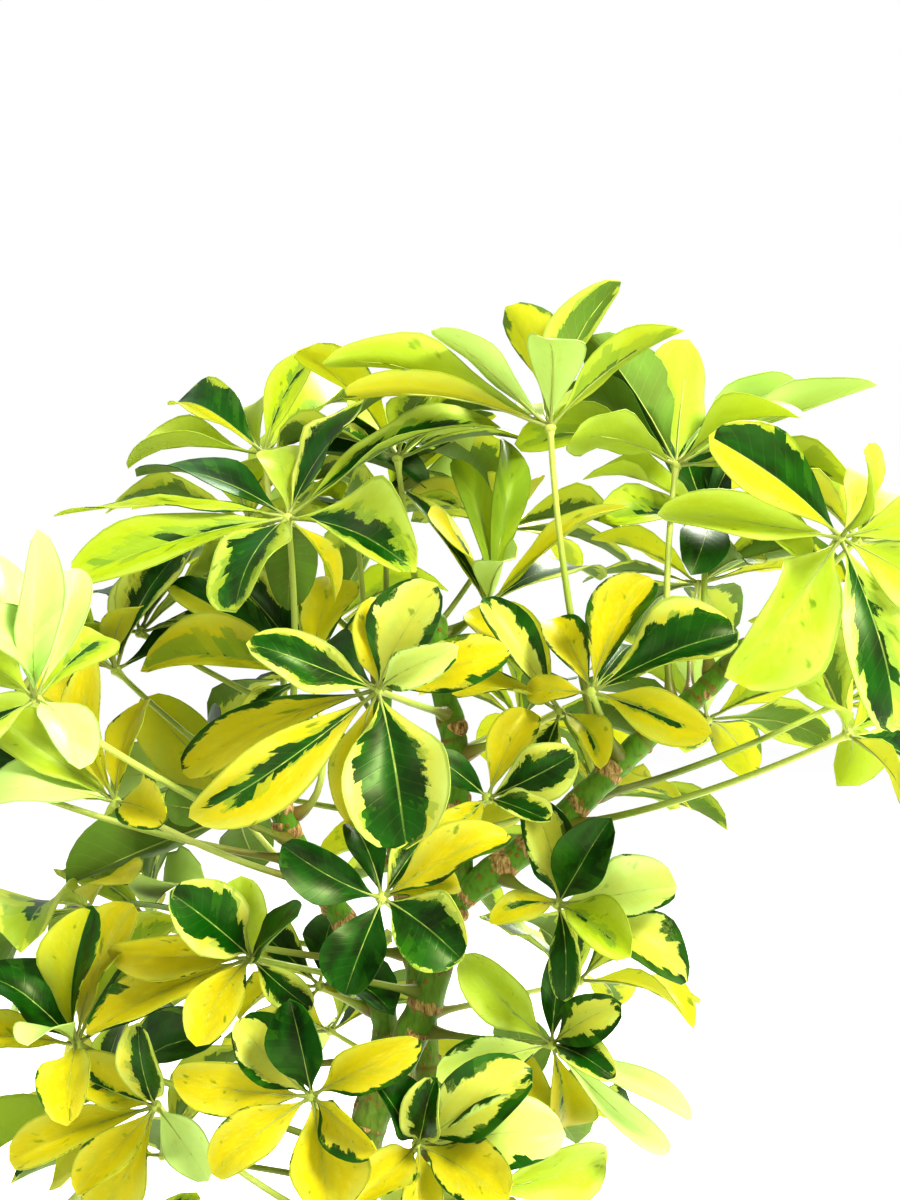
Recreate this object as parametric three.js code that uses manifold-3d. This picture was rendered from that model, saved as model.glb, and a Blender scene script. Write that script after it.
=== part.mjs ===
// Potted umbrella plant: three stems in a clay pot, with whorled leaves on long stalks.
// Millimetres, +Z up, front towards -Y, origin at the centre of the pot's underside.

import * as THREE from 'three';
import { mergeVertices } from 'three/addons/utils/BufferGeometryUtils.js';
import Module from 'manifold-3d';

const wasm = await Module();
wasm.setup();

// Pot: outer radii at the foot, the band's lower edge and the rim
const potHeight = 190;
const potFootRadius = 80;
const potBandRadius = 105;
const potRimRadius = 110;
const potBandHeight = 38;
const potWall = 9;
const potFloor = 12;
const potEdge = 2;
const potSides = 28;
const drainRadius = 7;
const drainCircle = 42;
const drainCount = 4;
const drainSides = 10;

// Soil, and the holes in it that hold the stems
const soilTop = 174;
const soilCrown = 4;
const crownPart = 0.6;
const crownRise = 0.8;
const holeSides = 16;
const stemDepth = 64;
const fitGap = 0.3;

// Stems: the foot is straight up to just under the soil's top
const stemSides = 8;
const stemStraight = 14;

// Leaf stalks: a wide foot on the stem, a thin bowed shaft, and a knob at the hub
const stalkSides = 3;
const stalkSteps = 5;
const stalkRadius = 1.7;
const stalkThickening = 1.25;
const stalkFootRadius = 4.2;
const stalkSink = 0.6;
const knobRadius = 4.6;
const lowBow = { at: 0.3, out: 0.07, bend: 1 };
const highBow = { at: 0.72, out: 0.04, bend: 0.6 };
const bendSpan = 100;

// Leaflets: the blade begins after a narrow neck, and runs through these widths to its tip
const leafletSides = 3;
const keelDepth = 0.7;
const leafletRoot = 2;
const leafletNeck = 0.17;
const neckWidth = 2.4;
const leafletWidth = 0.43;
const fineStations = { along: [0, 0.3, 0.62, 0.88, 1], widths: [0, 0.74, 1, 0.66, 0] };
const plainStations = { along: [0, 0.38, 0.78, 1], widths: [0, 0.86, 0.92, 0] };
const archRange = [0.04, 0.13];
const foldRange = [0.08, 0.24];
const rollRange = [-0.3, 0.3];

// Whorls whose leaflets are set evenly: angle from the axis and play round it, shortest length and spread
const whorlPolar = 66;
const whorlPolarPlay = 26;
const whorlTurnPlay = 0.35;
const whorlShortest = 0.82;
const whorlLengthPlay = 0.3;
const whorlOutwards = 0.55;
const whorlUpwards = 0.8;

// Room kept between leaves
const roomAcross = 1.2;
const roomAround = 1.2;
const degree = Math.PI / 180;

// Stems as centre lines and radii at the foot and the tip
const stems = {
  main: {
    path: [[0, 0, 190], [-12, 0, 260], [-8, 0, 335], [10, 0, 375], [25, 0, 410], [33, 1, 440], [39, 3, 466],
      [38, 5, 495], [37, 7, 535], [31, 9, 562], [28, 11, 592]],
    radii: [12.5, 6],
    steps: 18,
  },
  right: {
    path: [[38, 2, 455], [56, -2, 469], [75, -4, 483], [105, -6, 510], [130, -8, 535], [160, -8, 560],
      [180, -6, 580]],
    radii: [8.2, 5],
    steps: 9,
    grownFrom: 'main',
  },
  left: {
    path: [[-30, 30, 190], [-24, 33, 270], [-8, 33, 340], [1, 31, 385], [-8, 28, 412], [-20, 25, 440],
      [-36, 20, 466], [-48, 16, 490], [-54, 14, 515]],
    radii: [9.5, 5.5],
    steps: 16,
  },
  back: {
    path: [[28, 34, 190], [27, 52, 290], [19, 74, 390], [4, 92, 480], [-4, 100, 540], [4, 106, 585]],
    radii: [9.5, 5.2],
    steps: 15,
  },
};

// Leaves of the front are placed where an eye at this point sees them on the upright plane y = 0.
const eye = new THREE.Vector3(35, -833, 605);

// Leaves of the front: stem and height of the foot, hub as seen x and z and its depth, the way the whorl
// faces, and each leaflet's tip as seen x and z with its depth from the hub, and its width where it is
// broad. Rows with a ring instead have that many leaflets of that length, set evenly.
const frontLeaves = [
  { stem: 'main', foot: 548, hub: [-1, 560, -70], axis: [0, -1, 0.25], tips: [
    [12, 482, -30, 50], [-64, 585, -28, 26], [-94, 494, -22, 32], [-100, 518, 16], [-15, 491, 8],
    [-3, 606, -12, 26], [-27, 586, 36], [33, 617, -16, 32], [64, 580, -14, 26], [34, 578, -46, 18]] },
  { stem: 'right', foot: 519, hub: [85, 691, -20], axis: [0, 0.55, 0.85], tips: [
    [28, 744, -25, 21], [-26, 732, -15, 24], [-20, 706, -30, 22], [64, 751, 46], [83, 745, 58],
    [85, 741, -55, 28], [116, 764, 20, 26], [151, 741, -22, 22]] },
  { stem: 'right', foot: 549, hub: [148, 672, 20], axis: [0, 0.6, 0.8], tips: [
    [156, 736, 25, 38], [105, 738, 15], [96, 713, 46], [70, 688, 20, 32], [95, 687, -44],
    [250, 709, -10, 30], [205, 720, 36], [242, 662, -20, 34], [210, 697, -50]] },
  { stem: 'right', foot: 572, hub: [230, 636, -110], axis: [0.1, -0.9, 0.4], tips: [
    [163, 687, -28, 32], [240, 680, -55, 24], [140, 651, -10, 20], [178, 565, -25, 44], [260, 540, -15, 36],
    [300, 657, 0], [290, 592, -20], [252, 668, 50]] },
  { stem: 'right', foot: 566, hub: [164, 645, 50], axis: [0.1, -0.5, 0.85], ring: [7, 66] },
  { stem: 'right', foot: 526, hub: [106, 559, -45], axis: [-0.25, -0.75, 0.6], tips: [
    [178, 591, -18, 38], [135, 616, 8, 26], [163, 537, -28, 24], [96, 596, 42], [128, 584, 54],
    [72, 560, 20]] },
  { stem: 'main', foot: 527, hub: [90, 549, -15], axis: [-0.3, -0.6, 0.8], tips: [
    [58, 615, -10, 24], [45, 600, 30], [82, 588, -45, 22], [36, 566, -10], [118, 532, -40],
    [76, 506, -30]] },
  { stem: 'left', foot: 511, hub: [-46, 646, -10], axis: [0, -0.55, 0.85], tips: [
    [-163, 646, -20, 26], [-155, 614, -38, 28], [-75, 602, -58, 44], [16, 623, -46, 40], [-120, 672, 24],
    [-54, 682, 34, 26], [2, 707, 26, 40], [58, 708, -10, 24], [-22, 606, 26, 26], [-46, 600, 44, 28]] },
  { stem: 'left', foot: 499, hub: [-58, 678, 74], axis: [-0.1, -0.5, 0.85], tips: [
    [-31, 731, 16, 26], [-102, 706, 34], [-127, 678, 10], [24, 680, 24, 26], [26, 662, 0, 30],
    [-66, 704, 62], [-12, 706, 62]] },
  { stem: 'main', foot: 586, hub: [54, 602, 20], axis: [0, -0.5, 0.85], tips: [
    [24, 648, -38], [15, 665, 0, 19], [37, 675, 22, 18], [68, 688, 26, 20], [130, 650, -12, 34],
    [62, 641, -42, 24], [110, 622, 46]] },
  { stem: 'left', foot: 484, hub: [-172, 555, -130], axis: [0.2, -0.7, 0.7], tips: [
    [-188, 630, -8, 20], [-168, 638, -44, 20], [-150, 622, 20, 18], [-192, 606, -58, 24], [-222, 585, -20],
    [-222, 522, -25], [-138, 586, 56], [-150, 520, -40]] },
  { stem: 'left', foot: 506, hub: [-132, 570, 40], axis: [-0.2, -0.6, 0.8], tips: [
    [-162, 600, -44, 30], [-128, 607, -58, 20], [-166, 586, -34], [-162, 578, 30], [-101, 630, 5, 26],
    [-112, 624, 30], [-84, 592, 40, 28]] },
  { stem: 'left', foot: 463, hub: [-132, 504, -30], axis: [-0.3, -0.65, 0.7], tips: [
    [-167, 578, 8, 26], [-148, 573, -30, 22], [-196, 560, -14, 32], [-202, 535, 6, 24], [-200, 510, -30],
    [-168, 497, 38, 32], [-118, 556, 34], [-100, 500, -46]] },
  { stem: 'left', foot: 440, hub: [-70, 498, 62], axis: [-0.3, 0.9, 0.3], tips: [
    [-156, 462, -30, 44], [-110, 503, -30], [-120, 556, 26], [-40, 556, 50], [-60, 470, 60],
    [-112, 520, 66]] },
  { stem: 'left', foot: 494, hub: [-34, 566, 28], axis: [-0.2, -0.75, 0.65], tips: [
    [-118, 578, -20, 32], [-105, 612, 14, 28], [-70, 606, 52], [-20, 618, 42], [20, 592, 22],
    [-66, 540, -40]] },
  { stem: 'main', foot: 330, hub: [-152, 383, -60], axis: [-0.2, -0.6, 0.8], tips: [
    [-143, 453, -8, 28], [-122, 453, 6], [-106, 450, 22], [-196, 426, -12, 30], [-216, 387, -18],
    [-182, 384, -54, 24], [-158, 346, -52], [-100, 402, 40]] },
  { stem: 'left', foot: 394, hub: [-30, 412, 30], axis: [-0.3, -0.5, 0.8], ring: [6, 54] },
  { stem: 'main', foot: 408, hub: [-64, 426, -62], axis: [-0.1, -0.9, 0.4], tips: [
    [-136, 426, -16, 21], [-147, 388, -14, 23], [-104, 459, -36, 34], [-68, 466, -16, 22], [-40, 446, -50],
    [-92, 382, -46], [-34, 400, -18]] },
  { stem: 'main', foot: 436, hub: [1, 456, -80], axis: [0, -1, 0.25], tips: [
    [-49, 483, -12, 24], [-18, 408, -18, 30], [41, 425, -20, 34], [62, 491, -10, 23], [-14, 494, 26],
    [22, 486, 28], [40, 462, 14]] },
  { stem: 'right', foot: 471, hub: [89, 453, -30], axis: [0.2, -0.9, 0.4], tips: [
    [75, 506, -14, 26], [113, 494, -34], [148, 463, -12, 28], [155, 416, -12, 34], [92, 405, -22, 16],
    [124, 428, -46], [56, 446, -24]] },
  { stem: 'main', foot: 392, hub: [86, 383, -12], axis: [0.1, -0.9, 0.45], tips: [
    [41, 428, -16, 26], [93, 438, -12, 16], [120, 403, -30, 24], [111, 376, -42], [28, 366, -16, 24],
    [158, 348, -10, 14], [146, 328, 0, 14], [90, 340, 34]] },
  { stem: 'main', foot: 318, hub: [-34, 357, -84], axis: [0, -1, 0.25], tips: [
    [-45, 406, -14, 26], [20, 383, -14, 24], [-104, 366, -10, 26], [-85, 320, -18, 24], [-25, 298, -20, 34],
    [-2, 330, -34], [-74, 392, -10, 28]] },
  { stem: 'main', foot: 290, hub: [-112, 352, -48], axis: [-0.1, -0.9, 0.35], tips: [
    [-158, 371, -18, 24], [-186, 325, -10, 23], [-152, 308, -20, 24], [-122, 392, -28], [-88, 318, -34],
    [-140, 296, 10]] },
  { stem: 'main', foot: 303, hub: [19, 333, -62], axis: [0.1, -1, 0.25], tips: [
    [-2, 366, -28], [25, 376, -22], [73, 371, -14, 32], [91, 340, -16, 34], [-12, 304, -40],
    [22, 284, -26], [64, 304, -30, 30]] },
  { stem: 'main', foot: 270, hub: [48, 308, -26], axis: [0.5, -0.7, 0.4], ring: [7, 74] },
  { stem: 'right', foot: 496, hub: [234, 538, -50], axis: [0.8, -0.1, 0.6], ring: [7, 74] },
  { stem: 'right', foot: 510, hub: [228, 553, 26], axis: [0.7, 0.3, 0.7], ring: [7, 76] },
  { stem: 'main', foot: 492, hub: [54, 506, -42], axis: [0.1, -0.9, 0.5], tips: [
    [98, 528, -14, 28], [76, 550, 14], [26, 528, -10], [88, 490, -30], [30, 480, -28]] },
];

// Leaves of the sides, the back and the foot: stem and height of the foot, heading round from +X, rise,
// length of the stalk, then the leaflets' number and length
const roundLeaves = [
  ['back', 580, 95, 62, 96, 8, 84],
  ['back', 571, 160, 42, 120, 7, 86],
  ['back', 562, 35, 46, 118, 8, 84],
  ['back', 550, 250, 70, 100, 7, 80],
  ['back', 538, 110, 22, 128, 8, 84],
  ['back', 522, 200, 26, 150, 7, 84],
  ['back', 505, 55, 10, 140, 8, 82],
  ['back', 486, 145, 4, 138, 7, 82],
  ['back', 466, 10, 14, 118, 7, 76],
  ['back', 442, 85, -4, 132, 8, 80],
  ['back', 412, 175, 6, 150, 7, 82],
  ['back', 380, 35, 2, 110, 7, 76],
  ['back', 346, 120, 0, 120, 7, 78],
  ['back', 300, 60, 4, 108, 6, 74],
  ['right', 578, 20, 40, 90, 7, 78],
  ['right', 556, 80, 30, 116, 7, 80],
  ['right', 534, 65, 2, 118, 7, 78],
  ['main', 574, 130, 72, 110, 7, 82],
  ['left', 474, 195, 16, 160, 7, 84],
  ['left', 420, 170, 8, 150, 7, 82],
  ['left', 366, 190, -4, 140, 7, 80],
  ['left', 300, 150, -2, 124, 7, 76],
  ['left', 250, 205, 6, 118, 6, 74],
  ['main', 244, 300, 0, 112, 7, 76],
  ['main', 222, 20, 6, 104, 6, 72],
];

// Bends that a leaflet or stalk tries in turn, mildest first, until it is clear of what stands already
const bendSizes = [0, 7, 14, 21, 29, 38];
const bendTurns = 8;
const bends = bendSizes.flatMap((size) => Array.from({ length: size ? bendTurns : 1 }, (_, i) => [
  size * Math.cos(i * 2 * Math.PI / bendTurns),
  size * Math.sin(i * 2 * Math.PI / bendTurns),
]));
const bendShortening = 0.005;

const vector = ([x, y, z]) => new THREE.Vector3(x, y, z);
const mix = THREE.MathUtils.lerp;

// Seeded draws between 0 and 1
function drawsOf(seed) {
  const modulus = 2147483647;
  const factor = 16807;
  let state = (seed * 7919 + 104729) % modulus;
  return () => {
    state = (state * factor) % modulus;
    return state / modulus;
  };
}

// A point on a sight line: seen at x and z on the plane y = 0, lying at the given depth
function seenAt(x, z, depth) {
  return new THREE.Vector3(x, 0, z).sub(eye).multiplyScalar(1 - depth / eye.y).add(eye);
}

// A closed geometry as a solid, turned to face out
function solidOf(geometry) {
  const bare = new THREE.BufferGeometry();
  bare.setAttribute('position', geometry.getAttribute('position').clone());
  bare.setIndex(geometry.index);
  const merged = mergeVertices(bare, 1e-4);
  const triVerts = new Uint32Array(merged.index.array);
  const vertProperties = merged.attributes.position.array;
  const solid = new wasm.Manifold(new wasm.Mesh({ numProp: 3, vertProperties, triVerts }));
  if (solid.volume() > 0) return solid;
  for (let i = 0; i < triVerts.length; i += 3) {
    [triVerts[i + 1], triVerts[i + 2]] = [triVerts[i + 2], triVerts[i + 1]];
  }
  return new wasm.Manifold(new wasm.Mesh({ numProp: 3, vertProperties, triVerts }));
}

function meshOf(solid, name, material) {
  const { vertProperties, triVerts } = solid.getMesh();
  const geometry = new THREE.BufferGeometry();
  geometry.setAttribute('position', new THREE.BufferAttribute(new Float32Array(vertProperties), 3));
  geometry.setIndex(new THREE.BufferAttribute(new Uint32Array(triVerts), 1));
  geometry.computeVertexNormals();
  const mesh = new THREE.Mesh(geometry, material);
  mesh.name = name;
  return mesh;
}

// A tube along a curve, whose radius follows its length
function taperedTube(curve, radiusAt, sides, steps) {
  const shape = new THREE.Shape();
  shape.moveTo(1, 0);
  for (let i = 1; i < sides; i += 1) {
    const angle = i * 2 * Math.PI / sides;
    shape.lineTo(Math.cos(angle), Math.sin(angle));
  }
  const geometry = new THREE.ExtrudeGeometry(shape, { extrudePath: curve, steps, bevelEnabled: false });
  const centres = curve.getSpacedPoints(steps);
  const position = geometry.getAttribute('position');
  const corner = new THREE.Vector3();
  for (let i = 0; i < position.count; i += 1) {
    corner.fromBufferAttribute(position, i);
    const distances = centres.map((centre) => centre.distanceTo(corner));
    const ring = distances.indexOf(Math.min(...distances));
    corner.sub(centres[ring]).multiplyScalar(radiusAt(ring / steps)).add(centres[ring]);
    position.setXYZ(i, corner.x, corner.y, corner.z);
  }
  return solidOf(geometry);
}

// A profile of radii and heights turned round the upright axis
function turned(profile, sides) {
  const points = profile.map(([radius, height]) => new THREE.Vector2(radius, height));
  return solidOf(new THREE.LatheGeometry(points, sides).rotateX(Math.PI / 2));
}

// An upright cylinder between two heights
function uprightRod(radius, sides, x, y, low, high) {
  const rod = new THREE.CylinderGeometry(radius, radius, high - low, sides).rotateX(Math.PI / 2);
  return solidOf(rod.translate(x, y, (low + high) / 2));
}

// The inner radius of the pot's wall at a height
const innerFootRadius = potFootRadius - potWall;
const innerRimRadius = potRimRadius - potWall - 1;
const innerRadiusAt = (z) => mix(innerFootRadius, innerRimRadius,
  (z - potFloor) / (potHeight - potEdge - potFloor));

// Pot: tapered wall, a band round the rim, an open inside and drain holes round the centre of the floor
function makePot() {
  const bandLow = potHeight - potBandHeight;
  const outerAtBand = mix(potFootRadius, potRimRadius - potWall, bandLow / potHeight);
  let pot = turned([
    [0, 0],
    [potFootRadius - potEdge, 0],
    [potFootRadius, potEdge],
    [outerAtBand, bandLow - potEdge],
    [potBandRadius, bandLow],
    [potRimRadius, potHeight - potEdge * 1.5],
    [potRimRadius - potEdge, potHeight],
    [innerRimRadius + potEdge, potHeight],
    [innerRimRadius, potHeight - potEdge],
    [innerFootRadius, potFloor],
    [0, potFloor],
  ], potSides);
  for (let i = 0; i < drainCount; i += 1) {
    const angle = (i + 0.5) * 2 * Math.PI / drainCount;
    const x = drainCircle * Math.cos(angle);
    const y = drainCircle * Math.sin(angle);
    pot = pot.subtract(uprightRod(drainRadius, drainSides, x, y, -1, potFloor + 1));
  }
  return pot;
}

// Soil: fills the pot to below its rim, crowned a little, with a plain hole for each stem
function makeSoil() {
  const low = potFloor + fitGap;
  let soil = turned([
    [0, low],
    [innerRadiusAt(low) - fitGap, low],
    [innerRadiusAt(soilTop) - fitGap * 1.5, soilTop],
    [innerRadiusAt(soilTop) * crownPart, soilTop + soilCrown * crownRise],
    [0, soilTop + soilCrown],
  ], potSides);
  for (const stem of Object.values(stems)) {
    if (stem.grownFrom) continue;
    const [x, y] = stem.path[0];
    const bottom = soilTop - stemDepth - fitGap;
    soil = soil.subtract(uprightRod(stem.radii[0] + fitGap * 2, holeSides, x, y, bottom, potHeight));
  }
  return soil;
}

// Each stem's curve, its radius along it and its solid, bare and with a gap round it. A stem of its own
// runs straight down into the soil at its foot.
for (const stem of Object.values(stems)) {
  const points = stem.path.map(vector);
  if (!stem.grownFrom) {
    const [x, y] = stem.path[0];
    points.unshift(vector([x, y, soilTop - stemDepth]), vector([x, y, soilTop - stemStraight]));
  }
  stem.curve = new THREE.CatmullRomCurve3(points);
  stem.radiusAt = (t) => mix(stem.radii[0], stem.radii[1], t);
  stem.solid = taperedTube(stem.curve, stem.radiusAt, stemSides, stem.steps);
  stem.room = taperedTube(stem.curve, (t) => stem.radiusAt(t) + fitGap, stemSides, stem.steps);
}

// The part of a stem's length at which it reaches a height
function lengthAtHeight(curve, height) {
  let low = 0;
  let high = 1;
  for (let i = 0; i < 30; i += 1) {
    const middle = (low + high) / 2;
    if (curve.getPointAt(middle).z < height) low = middle;
    else high = middle;
  }
  return low;
}

// A stalk leaves its stem outwards, and bows to its hub
function stalkCurve(leaf, [lift, swing]) {
  const stem = stems[leaf.stem];
  const t = lengthAtHeight(stem.curve, leaf.foot);
  const foot = stem.curve.getPointAt(t);
  const along = stem.curve.getTangentAt(t);
  const way = leaf.hub.clone().sub(foot);
  const reach = way.length();
  const out = way.clone().addScaledVector(along, -way.dot(along)).normalize();
  const side = new THREE.Vector3().crossVectors(out, along).normalize();
  const start = foot.clone().addScaledVector(out, stem.radiusAt(t) * stalkSink);
  const [first, second] = [lowBow, highBow].map((bow) => start.clone().lerp(leaf.hub, bow.at)
    .addScaledVector(out, reach * bow.out)
    .addScaledVector(along, lift * bow.bend * reach / bendSpan)
    .addScaledVector(side, swing * bow.bend * reach / bendSpan));
  return new THREE.CubicBezierCurve3(start, first, second, leaf.hub);
}

// A stalk with its wide foot, and the knob at its end that bears the leaflets
function stalkSolid(curve, room) {
  const shaftAt = (t) => mix(stalkRadius * stalkThickening, stalkRadius, t);
  const radiusAt = (t) => (t === 0 ? stalkFootRadius : shaftAt(t)) + room;
  const knob = new THREE.OctahedronGeometry(knobRadius + room, 0).translate(...curve.v3.toArray());
  return taperedTube(curve, radiusAt, stalkSides, stalkSteps).add(solidOf(knob));
}

// Where a leaflet's tip comes to after a bend: lifted towards the whorl's axis and swung round it
function bentTip(leaf, tip, [lift, swing]) {
  const arm = tip.clone().sub(leaf.hub);
  const side = new THREE.Vector3().crossVectors(leaf.axis, arm).normalize();
  arm.applyAxisAngle(side, -lift * degree).applyAxisAngle(leaf.axis, swing * degree);
  return arm.multiplyScalar(1 - Math.hypot(lift, swing) * bendShortening).add(leaf.hub);
}

// A leaflet: a three-sided lathe laid flat on its keel, which is the rib, and arched between hub and tip.
// Its two other corners are the blade's edges, which fold up from the rib.
function leafletSolid(leaf, leaflet, tip, room, rooted) {
  const arm = tip.clone().sub(leaf.hub);
  const length = arm.length();
  const along = arm.clone().normalize();
  const up = leaf.axis.clone().addScaledVector(along, -leaf.axis.dot(along)).normalize()
    .applyAxisAngle(along, leaflet.roll);
  const side = new THREE.Vector3().crossVectors(along, up);
  const halfWidth = (leaflet.width || length * leafletWidth) / 2;
  const { along: stations, widths } = leaf.tips ? fineStations : plainStations;
  const profile = stations.map((station, i) => {
    const half = i === 0 ? neckWidth / 2 : widths[i] * halfWidth;
    const wider = i === stations.length - 1 ? 0 : room;
    return new THREE.Vector2(half + wider, mix(leafletNeck, 1, station) * length);
  });
  profile.unshift(new THREE.Vector2(0, rooted ? -leafletRoot : length * leafletNeck));
  const geometry = new THREE.LatheGeometry(profile, leafletSides);
  const cornerTurn = Math.sin(2 * Math.PI / leafletSides);
  const nearlyNone = 1e-6;
  const position = geometry.getAttribute('position');
  for (let i = 0; i < position.count; i += 1) {
    const across = position.getX(i) / cornerTurn;
    const t = position.getY(i) / length;
    const onEdge = Math.abs(across) > nearlyNone;
    const onKeel = !onEdge && position.getZ(i) > nearlyNone;
    let raised = Math.max(0, 4 * t * (1 - t)) * leaflet.arch * length;
    if (onKeel) raised -= keelDepth + room;
    if (onEdge) raised += Math.abs(across) * leaflet.fold + room;
    const point = leaf.hub.clone().addScaledVector(along, t * length)
      .addScaledVector(side, across).addScaledVector(up, raised);
    position.setXYZ(i, point.x, point.y, point.z);
  }
  return solidOf(geometry);
}

// Tips set evenly round the whorl's axis, with some play
function ringTip(leaf, i, turn, tilt, size) {
  const [count, reach] = leaf.ring;
  const levelWay = Math.abs(leaf.axis.z) > 0.9 ? vector([1, 0, 0]) : vector([0, 0, 1]);
  const sideways = new THREE.Vector3().crossVectors(leaf.axis, levelWay).normalize();
  const polar = whorlPolar + whorlPolarPlay * tilt;
  const angle = 360 * (i + whorlTurnPlay * turn) / count;
  const arm = leaf.axis.clone().applyAxisAngle(sideways, polar * degree)
    .applyAxisAngle(leaf.axis, angle * degree);
  return arm.multiplyScalar(reach * (whorlShortest + whorlLengthPlay * size)).add(leaf.hub);
}

// Every leaf with its hub, axis and leaflets
function plannedLeaves() {
  const leaves = frontLeaves.map((row) => ({
    ...row,
    hub: seenAt(row.hub[0], row.hub[1], row.hub[2]),
    depth: row.hub[2],
    axis: vector(row.axis).normalize(),
  }));
  for (const [stem, foot, heading, rise, reach, count, size] of roundLeaves) {
    const out = new THREE.Vector3(reach, 0, 0).applyAxisAngle(vector([0, 1, 0]), -rise * degree)
      .applyAxisAngle(vector([0, 0, 1]), heading * degree);
    const start = stems[stem].curve.getPointAt(lengthAtHeight(stems[stem].curve, foot));
    const axis = out.clone().normalize().multiplyScalar(whorlOutwards)
      .add(vector([0, 0, whorlUpwards])).normalize();
    leaves.push({ stem, foot, hub: start.add(out), axis, ring: [count, size] });
  }
  leaves.forEach((leaf, number) => {
    const draw = drawsOf(number + 1);
    const count = leaf.tips ? leaf.tips.length : leaf.ring[0];
    leaf.leaflets = Array.from({ length: count }, (_, i) => {
      const [turn, tilt, size, arch, fold, roll] = Array.from({ length: 6 }, draw);
      const row = leaf.tips && leaf.tips[i];
      const tip = row ? seenAt(row[0], row[1], leaf.depth + row[2]) : ringTip(leaf, i, turn, tilt, size);
      return {
        tip,
        width: row && row[3],
        arch: mix(...archRange, arch),
        fold: mix(...foldRange, fold),
        roll: mix(...rollRange, roll),
      };
    });
  });
  return leaves;
}

function apart(a, b) {
  const boxA = a.boundingBox();
  const boxB = b.boundingBox();
  if ([0, 1, 2].some((k) => boxA.min[k] > boxB.max[k] || boxB.min[k] > boxA.max[k])) return true;
  return a.intersect(b).isEmpty();
}

function isClear(solid, others) {
  return others.every((other) => apart(solid, other));
}

// Gives a leaf its stalk, bent clear of the stems and of the stalks before it
function growStalk(leaf, stalksBefore) {
  const otherStems = Object.entries(stems).filter(([name]) => name !== leaf.stem);
  const others = [...stalksBefore, ...otherStems.map(([, stem]) => stem.room)];
  const bend = bends.find((trial) => isClear(stalkSolid(stalkCurve(leaf, trial), roomAround), others));
  if (!bend) throw new Error(`the stalk from ${leaf.stem} at ${leaf.foot} finds no room`);
  const curve = stalkCurve(leaf, bend);
  leaf.stalkRoom = stalkSolid(curve, roomAround);
  leaf.solid = stalkSolid(curve, 0);
  for (const stem of Object.values(stems)) leaf.solid = leaf.solid.subtract(stem.room);
}

// Adds to a leaf its leaflets, each bent clear of the others, and returns the room that they take.
// A leaflet without any room is left out.
function growLeaflets(leaf, others) {
  const rooms = [];
  const blades = [];
  for (const leaflet of leaf.leaflets) {
    const shapeOf = (trial, room, rooted) => {
      const tip = bentTip(leaf, leaflet.tip, trial);
      return leafletSolid(leaf, leaflet, tip, room, rooted);
    };
    const bend = bends.find((trial) => isClear(shapeOf(trial, roomAcross, true), others)
      && isClear(shapeOf(trial, 0, false), blades));
    if (!bend) continue;
    rooms.push(shapeOf(bend, roomAcross, true));
    blades.push(shapeOf(bend, 0, false));
    leaf.solid = leaf.solid.add(shapeOf(bend, 0, true));
  }
  return rooms;
}

function grownLeaves() {
  const leaves = plannedLeaves();
  leaves.forEach((leaf, i) => growStalk(leaf, leaves.slice(0, i).map((other) => other.stalkRoom)));
  const stemRooms = Object.values(stems).map((stem) => stem.room);
  const placed = [];
  for (const leaf of leaves) {
    const stalks = leaves.filter((other) => other !== leaf).map((other) => other.stalkRoom);
    placed.push(...growLeaflets(leaf, [...placed, ...stemRooms, ...stalks]));
  }
  return leaves;
}

const clay = new THREE.MeshStandardMaterial({ color: 0xb5653f, roughness: 0.85, metalness: 0 });
const earth = new THREE.MeshStandardMaterial({ color: 0x3a2a1e, roughness: 1, metalness: 0 });
const bark = new THREE.MeshStandardMaterial({ color: 0x5d7a2c, roughness: 0.7, metalness: 0 });
const foliage = new THREE.MeshStandardMaterial({ color: 0xb9c93a, roughness: 0.4, metalness: 0 });

const plant = new THREE.Group();
plant.add(meshOf(makePot(), 'pot', clay));
plant.add(meshOf(makeSoil(), 'soil', earth));
plant.add(meshOf(stems.main.solid.add(stems.right.solid), 'main_stem', bark));
plant.add(meshOf(stems.left.solid, 'left_stem', bark));
plant.add(meshOf(stems.back.solid, 'back_stem', bark));
grownLeaves().forEach((leaf, i) => {
  plant.add(meshOf(leaf.solid, `leaf_${String(i + 1).padStart(2, '0')}`, foliage));
});

export default plant;
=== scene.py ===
# Potted umbrella plant: the looks of the pot, soil, stems and variegated leaves, in metres.
import math
import random
from bisect import bisect_right

import bmesh
import bpy
from mathutils import Matrix, Quaternion, Vector, kdtree, noise


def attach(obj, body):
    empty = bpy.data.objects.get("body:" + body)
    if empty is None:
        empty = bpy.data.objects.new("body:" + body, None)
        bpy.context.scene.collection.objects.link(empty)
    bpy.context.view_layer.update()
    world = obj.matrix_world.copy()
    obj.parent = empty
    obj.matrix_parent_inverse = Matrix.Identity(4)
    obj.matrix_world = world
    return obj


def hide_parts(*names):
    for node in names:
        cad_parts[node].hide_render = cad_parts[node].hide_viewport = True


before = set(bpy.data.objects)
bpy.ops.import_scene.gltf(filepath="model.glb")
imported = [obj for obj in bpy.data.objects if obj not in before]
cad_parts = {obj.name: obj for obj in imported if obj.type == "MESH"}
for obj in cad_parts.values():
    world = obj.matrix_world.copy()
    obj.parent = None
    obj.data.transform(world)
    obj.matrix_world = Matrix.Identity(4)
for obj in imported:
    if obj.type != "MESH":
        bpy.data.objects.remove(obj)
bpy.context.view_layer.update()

scene = bpy.context.scene
mm = 0.001


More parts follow.
